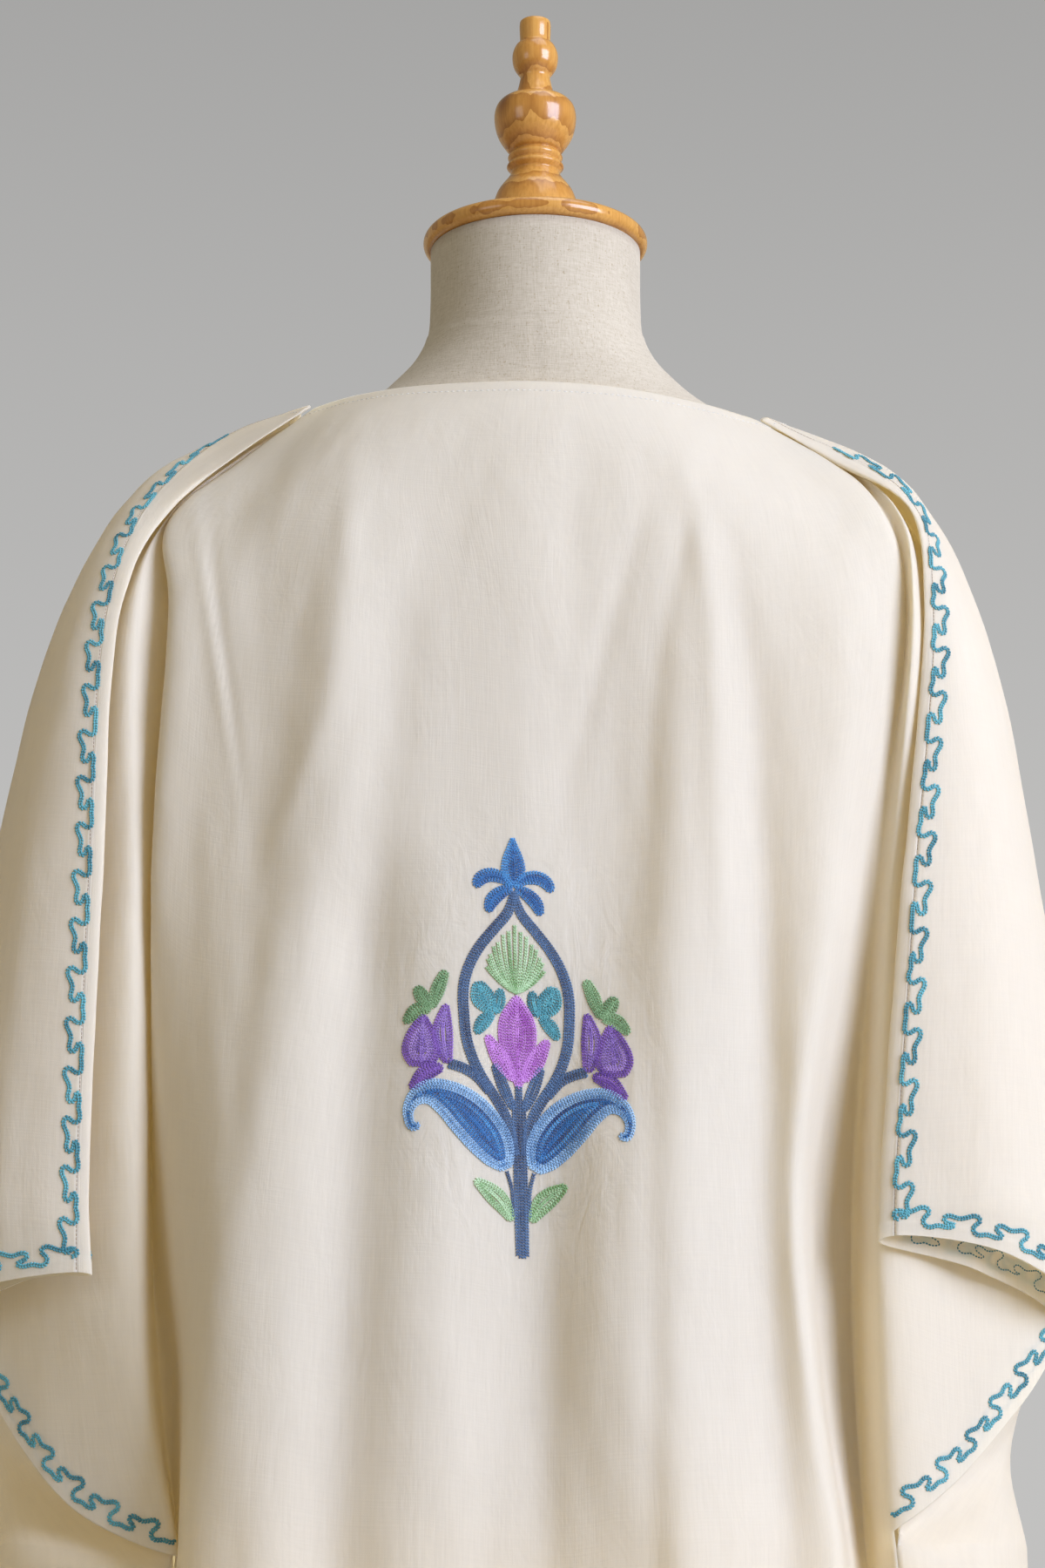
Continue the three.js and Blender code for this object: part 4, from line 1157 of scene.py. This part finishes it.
def cotton_material():
    """Uneven slub cotton, thin enough for light to come through, crumpled and puckered at the spray."""
    shader = Shader("cotton", 0.88, Sheen_Weight=0.25, Sheen_Roughness=0.5, Specular_IOR_Level=0.18)
    slubs_down = shader.noise((900, 40, 1), source="UV")
    slubs_across = shader.noise((35, 1000, 1), source="UV")
    threads = shader.mix(0.3, slubs_down, slubs_across)
    tint = shader.mix(shader.noise(EVEN, scale=7.0), COTTON, COTTON_WARM)
    lines = shader.ramp(threads, [(0.36, (0.94,) * 3), (0.6, (1, 1, 1))])
    shader.colour(shader.product(tint, lines))
    shader.bump(threads, 0.0003, 0.7)
    shader.bump(weave(shader, WEAVE), 0.00006, 0.5)
    shader.bump(shader.noise((1, 1, 0.4), 4.0, 0.6, 0.6, scale=38.0), 0.0016, 0.5)
    # the dense stitching of the spray draws up the cloth round it
    away = shader.distance(PUCKER, PUCKER_SQUASH)
    start, full = PUCKER_REACH
    near = shader.node("MapRange", {"Value": away, "From Min": start, "From Max": full}).outputs[0]
    puckers = shader.noise((80, 80, 34), distortion=1.2)
    shader.bump(shader.math("MULTIPLY", puckers, near), 0.0035, 0.35)
    glow = shader.node("BsdfTranslucent", {"Color": (*GLOW, 1)})
    mixed = shader.node("MixShader", {0: GLOW_SHARE})
    shader.tree.links.new(shader.bsdf.outputs[0], mixed.inputs[1])
    shader.tree.links.new(glow.outputs[0], mixed.inputs[2])
    output = shader.tree.nodes["Material Output"]
    shader.tree.links.new(mixed.outputs[0], output.inputs["Surface"])
    return shader.material


def linen_material():
    """Coarse natural linen with darker flecks."""
    shader = Shader("linen", 0.92, Sheen_Weight=0.15, Specular_IOR_Level=0.12)
    warp = shader.noise((1500, 1500, 150), 2.0)
    weft = shader.noise((160, 160, 1700), 2.0)
    cloth = shader.math("MULTIPLY", shader.math("ADD", warp, weft), 0.5)
    flecks = shader.noise((900, 900, 700), 2.0, 0.5)
    patches = shader.noise(EVEN, scale=16.0)
    base = shader.ramp(cloth, LINEN_TONES)
    speck = shader.ramp(flecks, [(0.30, (0.80, 0.75, 0.68)), (0.38, (1, 1, 1))])
    tone = shader.ramp(patches, [(0.3, (0.95, 0.945, 0.94)), (0.7, (1, 1, 1))])
    shader.colour(shader.product(base, speck, tone))
    shader.bump(cloth, 0.0003, 0.7)
    return shader.material


def pine_material():
    """Varnished pine with rings, fibres and a knot."""
    shader = Shader("pine", 0.3, Coat_Weight=0.45, Coat_Roughness=0.08, Specular_IOR_Level=0.35)
    swirl = shader.noise((9, 9, 2.2), 3.0, 0.5, 0.4)
    rings = {"Scale": 62.0, "Distortion": 7.0, "Detail": 3.0, "Detail Scale": 0.9}
    rings["Vector"] = shader.coordinates((1, 1, 0.12))
    kind = dict(wave_type="RINGS", rings_direction="Z", wave_profile="SAW")
    figure = shader.ramp(shader.node("TexWave", rings, **kind).outputs["Fac"], PINE_TONES)
    fibres = shader.noise((700, 700, 26))
    broad = shader.mix(swirl, (0.80, 0.74, 0.62), (1.0, 1.0, 1.0))
    grain = shader.ramp(fibres, [(0.35, (0.86, 0.80, 0.72)), (0.6, (1, 1, 1))])
    away = shader.distance(KNOT, KNOT_SQUASH)
    dark = shader.ramp(away, [(0.0015, (0.28, 0.12, 0.04)), (0.007, (1, 1, 1))])
    shader.colour(shader.product(figure, broad, grain, dark))
    uneven = shader.noise((60, 60, 60), 2.0)
    roughness = shader.node("MapRange", {"Value": uneven, "To Min": 0.16, "To Max": 0.32}).outputs[0]
    shader.tree.links.new(roughness, shader.bsdf.inputs["Roughness"])
    shader.bump(fibres, 0.0001, 0.25)
    return shader.material


def thread_material(name, dark, light):
    """Mercerised thread: its strands twist, and its dye runs from dark to light along it."""
    shader = Shader(f"thread_{name}", 0.5, Sheen_Weight=0.3, Specular_IOR_Level=0.45)
    shade = shader.node("Attribute", attribute_name="shade").outputs["Fac"]
    ply = shader.noise(EVEN, 2.0, scale=2600.0)
    mixed = shader.math("ADD", shade, shader.math("MULTIPLY", shader.math("SUBTRACT", ply, 0.5), 0.5))
    shader.colour(shader.ramp(mixed, [(0.1, dark), (0.85, light)]))
    shader.bump(ply, 0.0002, 0.6)
    return shader.material


def plain_thread(name, colour):
    """Thread of one colour, a little darker in places."""
    return thread_material(name, tuple(0.8 * c for c in colour), colour)


def floor_material():
    shader = Shader("studio_floor", 0.85)
    shader.colour(shader.ramp(shader.noise(EVEN, 2.0, scale=220.0), FLOOR_TONES))
    return shader.material


# ---------- studio, in metres, watts and degrees ----------
CAMERA = dict(place=(0.007, 1.894, 0.746), pitch=13.4, lens=85, film=36, furthest=60)
KEY_COLOUR = (0.91, 1.015, 1.32)
SOFT_COLOUR = (0.915, 1.01, 1.18)
LAMPS = [
    dict(name="key", place=(-2.55, 2.05, 2.15), aim=(0, 0, 1.15), size=2.0, power=135, colour=KEY_COLOUR),
    dict(name="fill", place=(2.4, 2.4, 1.9), aim=(0, 0, 1.2), size=1.2, power=8, colour=SOFT_COLOUR),
    dict(name="top", place=(-0.5, 0.5, 3.6), aim=(0, 0, 1.3), size=1.6, power=16, colour=SOFT_COLOUR),
    dict(name="back", place=(-0.4, -2.6, 1.7), aim=(0, 0, 1.1), size=2.4, power=80, colour=SOFT_COLOUR),
]
# Backdrop: sine of the angle above the horizon, and the grey there.
BACKDROP = [(-0.2, 0.515), (0.05, 0.54), (0.22, 0.51), (0.34, 0.445), (0.46, 0.36)]
BACKDROP_TINT = (1, 0.992, 0.978)
AMBIENT = (0.80, 0.74, 0.57)  # share of the backdrop's light that falls on the garment
FLOOR = dict(size=14, top=-0.0005)


def build_backdrop():
    """A grey backdrop that darkens with height. The light it gives the garment is warmer and weaker."""
    world = bpy.data.worlds.new("studio")
    bpy.context.scene.world = world
    sky = Nodes(world)
    direction = sky.node("TexCoord").outputs["Generated"]
    height = sky.node("SeparateXYZ", {0: direction}).outputs["Z"]
    place = sky.node("MapRange", {"Value": height, "From Min": -1, "From Max": 1}).outputs[0]
    tones = [((sine + 1) / 2, tuple(grey * share for share in BACKDROP_TINT)) for sine, grey in BACKDROP]
    seen = sky.node("LightPath").outputs["Is Camera Ray"]
    share = sky.mix(seen, AMBIENT, (1, 1, 1))
    light = sky.node("VectorMath", {0: sky.ramp(place, tones), 1: share}, operation="MULTIPLY")
    sky.tree.links.new(light.outputs[0], sky.tree.nodes["Background"].inputs["Color"])


def build_lamps():
    for lamp in LAMPS:
        data = bpy.data.lights.new(lamp["name"], "AREA")
        data.size = lamp["size"]
        data.energy = lamp["power"]
        data.color = lamp["colour"]
        light = bpy.data.objects.new(lamp["name"], data)
        light.location = lamp["place"]
        light.visible_glossy = lamp["name"] != "back"
        aim = Vector(lamp["aim"]) - Vector(lamp["place"])
        light.rotation_euler = aim.to_track_quat("-Z", "Y").to_euler()
        bpy.context.collection.objects.link(light)


def build_floor():
    half, top = FLOOR["size"] / MM / 2, FLOOR["top"] / MM
    corners = [(-half, -half, top), (half, -half, top), (half, half, top), (-half, half, top)]
    floor = new_mesh("studio_floor", corners, [(0, 1, 2, 3)], smooth=False)
    floor.data.materials.append(floor_material())


def build_camera():
    data = bpy.data.cameras.new("camera")
    data.lens = CAMERA["lens"]
    data.sensor_width = CAMERA["film"]
    data.clip_end = CAMERA["furthest"]
    camera = bpy.data.objects.new("camera", data)
    camera.location = CAMERA["place"]
    camera.rotation_euler = (math.radians(90 + CAMERA["pitch"]), 0, math.radians(180))
    bpy.context.collection.objects.link(camera)
    bpy.context.scene.camera = camera


# ---------- pieces ----------
SEAM_SEED = {"right": 3, "left": 7}
# The meanders of each side: the edge they follow, the panel they are sewn on, how far from the edge's
# first and last point they stop, and how far in from it they lie. Cuff edges start at the underarm.
MEANDERS = [
    dict(edge="seam", panel="front", start=42, rest=14, off=2.0),
    dict(edge="cuff", panel="front", start=14, rest=4, off=7.4),
    dict(edge="cuff", panel="back", start=1.5, rest=13, off=7.4),
]
# Their reverse on the cuffs' inner faces: thin stitches.
REVERSES = [
    dict(panel="front", start=20, rest=4, off=7.4),
    dict(panel="back", start=26, rest=13, off=7.4),
]
# Plain stitches, in mm: their pitch, length, width and height, and how deep they are pulled in.
REVERSE_STITCH = dict(pitch=1.7, length=1.6, width=0.85, height=0.6, sink=-0.05)
# The top seam's line: overlapping thin brown stitches that paint the seam's shadow.
SEAM_SHADOW_LINE = dict(pitch=2.0, length=2.4, width=0.5, height=0.4, sink=0.05)
NECK_STITCH = dict(pitch=3.1, length=2.3, width=0.7, height=0.5)
HEM_STITCH = dict(pitch=3.4, length=2.6, width=0.7, height=0.5)
TOPSTITCH_ROWS = 24  # mesh rows beside an edge that its topstitching may lie on


def finish(piece, node, material=None):
    """What each visible piece needs: its material, the body it rides on, the node it replaces."""
    if material:
        piece.data.materials.append(material)
    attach(piece, "root")
    if node:
        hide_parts(node)
    return piece


def net_uv(piece, cloth, name):
    """Lays the weave along the panel's net: across the columns and down the rows, in metres."""
    net = cloth.nets[name]
    spots = cloth.points[np.maximum(net, 0)]
    widths = np.linalg.norm(np.diff(spots[: len(cloth.upper)], axis=1), axis=2).mean(axis=0)
    across = np.repeat([running(widths)], len(net), axis=0)
    down, _ = edge_distances(cloth, name)
    flat = np.zeros((len(cloth.points), 2))
    has = net >= 0
    flat[net[has]] = np.stack([across[has], down[has]], axis=1) * MM
    used = np.unique(cloth.quads(name))
    flat = np.concatenate([flat[used], flat[used]])
    layer = piece.data.uv_layers.new(name="UVMap")
    loops = np.empty(len(piece.data.loops), np.int32)
    piece.data.loops.foreach_get("vertex_index", loops)
    layer.data.foreach_set("uv", flat[loops].astype(np.float32).ravel())


def sew_meanders(cloth, side, threads):
    """The embroidered edges of one side, with a thin line of brown stitches along the top seam that paints
    the seam's shadow: a piece on each panel.
    """
    seed = SEAM_SEED[side]
    seam = seam_band(cloth, side)
    sewn = {"front": Stitches(seed), "back": Stitches(seed + 20)}
    for number, edge in enumerate(MEANDERS):
        band = seam if edge["edge"] == "seam" else cuff_band(cloth, side, edge["panel"])
        path = meander_path(band.length - edge["rest"], edge["start"], seed + number)
        points, normals = band.at(path[:, 0], path[:, 1] + edge["off"])
        sewn[edge["panel"]].chain(points, normals)
    for number, edge in enumerate(REVERSES):
        band = cuff_band(cloth, side, edge["panel"], face=-1)
        path = meander_path(band.length - edge["rest"], edge["start"], seed + 1 + number)
        points, normals = band.at(path[:, 0], path[:, 1] + edge["off"])
        sewn[edge["panel"]].dashes(points, normals, slot=1, **REVERSE_STITCH)
    # A thin brown line along the top seam: painted shadow of the seam.
    sewn["front"].dashes(*seam.line(inward=0.4, margin=2, step=1.5), slot=2, **SEAM_SHADOW_LINE)
    return {
        panel: finish(stitches.piece(f"meander_{side}_{panel}", threads), None)
        for panel, stitches in sewn.items()
    }


def sew_topstitching(cloth, panel, thread):
    """Stitches that hold the turned edges of the neck and the skirt hem."""
    stitches = Stitches(seed=31 if panel == "back" else 37)
    net = cloth.nets[panel]
    neck = EdgeBand(cloth, net[:TOPSTITCH_ROWS])
    stitches.dashes(*neck.line(NECK_HEM, margin=3, step=1.5), **NECK_STITCH)
    columns = np.where(net[-1] >= 0)[0]
    hem = EdgeBand(cloth, net[::-1][:TOPSTITCH_ROWS][:, columns])
    stitches.dashes(*hem.line(SKIRT_HEM, margin=2, step=2.0), **HEM_STITCH)
    return finish(stitches.piece(f"topstitch_{panel}", [thread]), None)


def build_kaftan():
    """Both panels, then their embroidery and topstitching."""
    cloth = Cloth()
    shape_cloth(cloth)
    cotton = cotton_material()
    panels = {}
    for name in ("back", "front"):
        piece = panel_shell(cloth, name)
        net_uv(piece, cloth, name)
        panels[name] = finish(piece, f"kaftan_{name}", cotton)

    trims = {"back": [], "front": []}
    edging = [
        thread_material("teal_edge", *THREADS["teal"]),
        thread_material("teal_reverse", *TEAL_REVERSE),
        # Brown thread for the top seam's painted shadow line.
        plain_thread("seam", SEAM_SHADOW_COLOUR),
    ]
    for side in ("right", "left"):
        for panel, trim in sew_meanders(cloth, side, edging).items():
            trims[panel].append(trim)
    tree = BVHTree.FromObject(panels["back"], bpy.context.evaluated_depsgraph_get())
    threads = {name: thread_material(name, *pair) for name, pair in THREADS.items()}
    trims["back"].append(finish(embroider_spray(tree, threads), None))
    cream = plain_thread("cream", CREAM_THREAD)
    for panel in ("back", "front"):
        trims[panel].append(sew_topstitching(cloth, panel, cream))


def build_form():
    """The linen torso and the turned pieces above and below it."""
    linen = linen_material()
    pine = pine_material()
    torso = capped_grid("form_torso_linen", seam_grooves(lofted(TORSO, SIDES["torso"])))
    finish(torso, "form_torso", linen)
    cap = turned("neck_cap_pine", rounded_disc(**CAP), SIDES["cap"])
    finish(cap, "form_neck_cap", pine)
    foot = CAP["bottom"] + CAP["thickness"] + GAP
    side = [(radius, foot + height) for radius, height in FINIAL]
    profile = [(AXIS, foot), *side, (AXIS, side[-1][1])]
    finial = turned("finial_pine", profile, SIDES["finial"], sharp=(1, len(side)))
    finish(finial, "form_finial", pine)
    base = turned("base_pine", BASE_PROFILE, SIDES["base"], sharp=(1, 2, 4, 5))
    finish(base, "form_base", pine)
    pole = turned("pole_pine", POLE_PROFILE, SIDES["pole"], sharp=(1, 2, 5, 6))
    finish(pole, "form_pole", pine)


bpy.context.scene.view_settings.view_transform = "Standard"
build_camera()
build_backdrop()
build_lamps()
build_floor()
build_form()
build_kaftan()
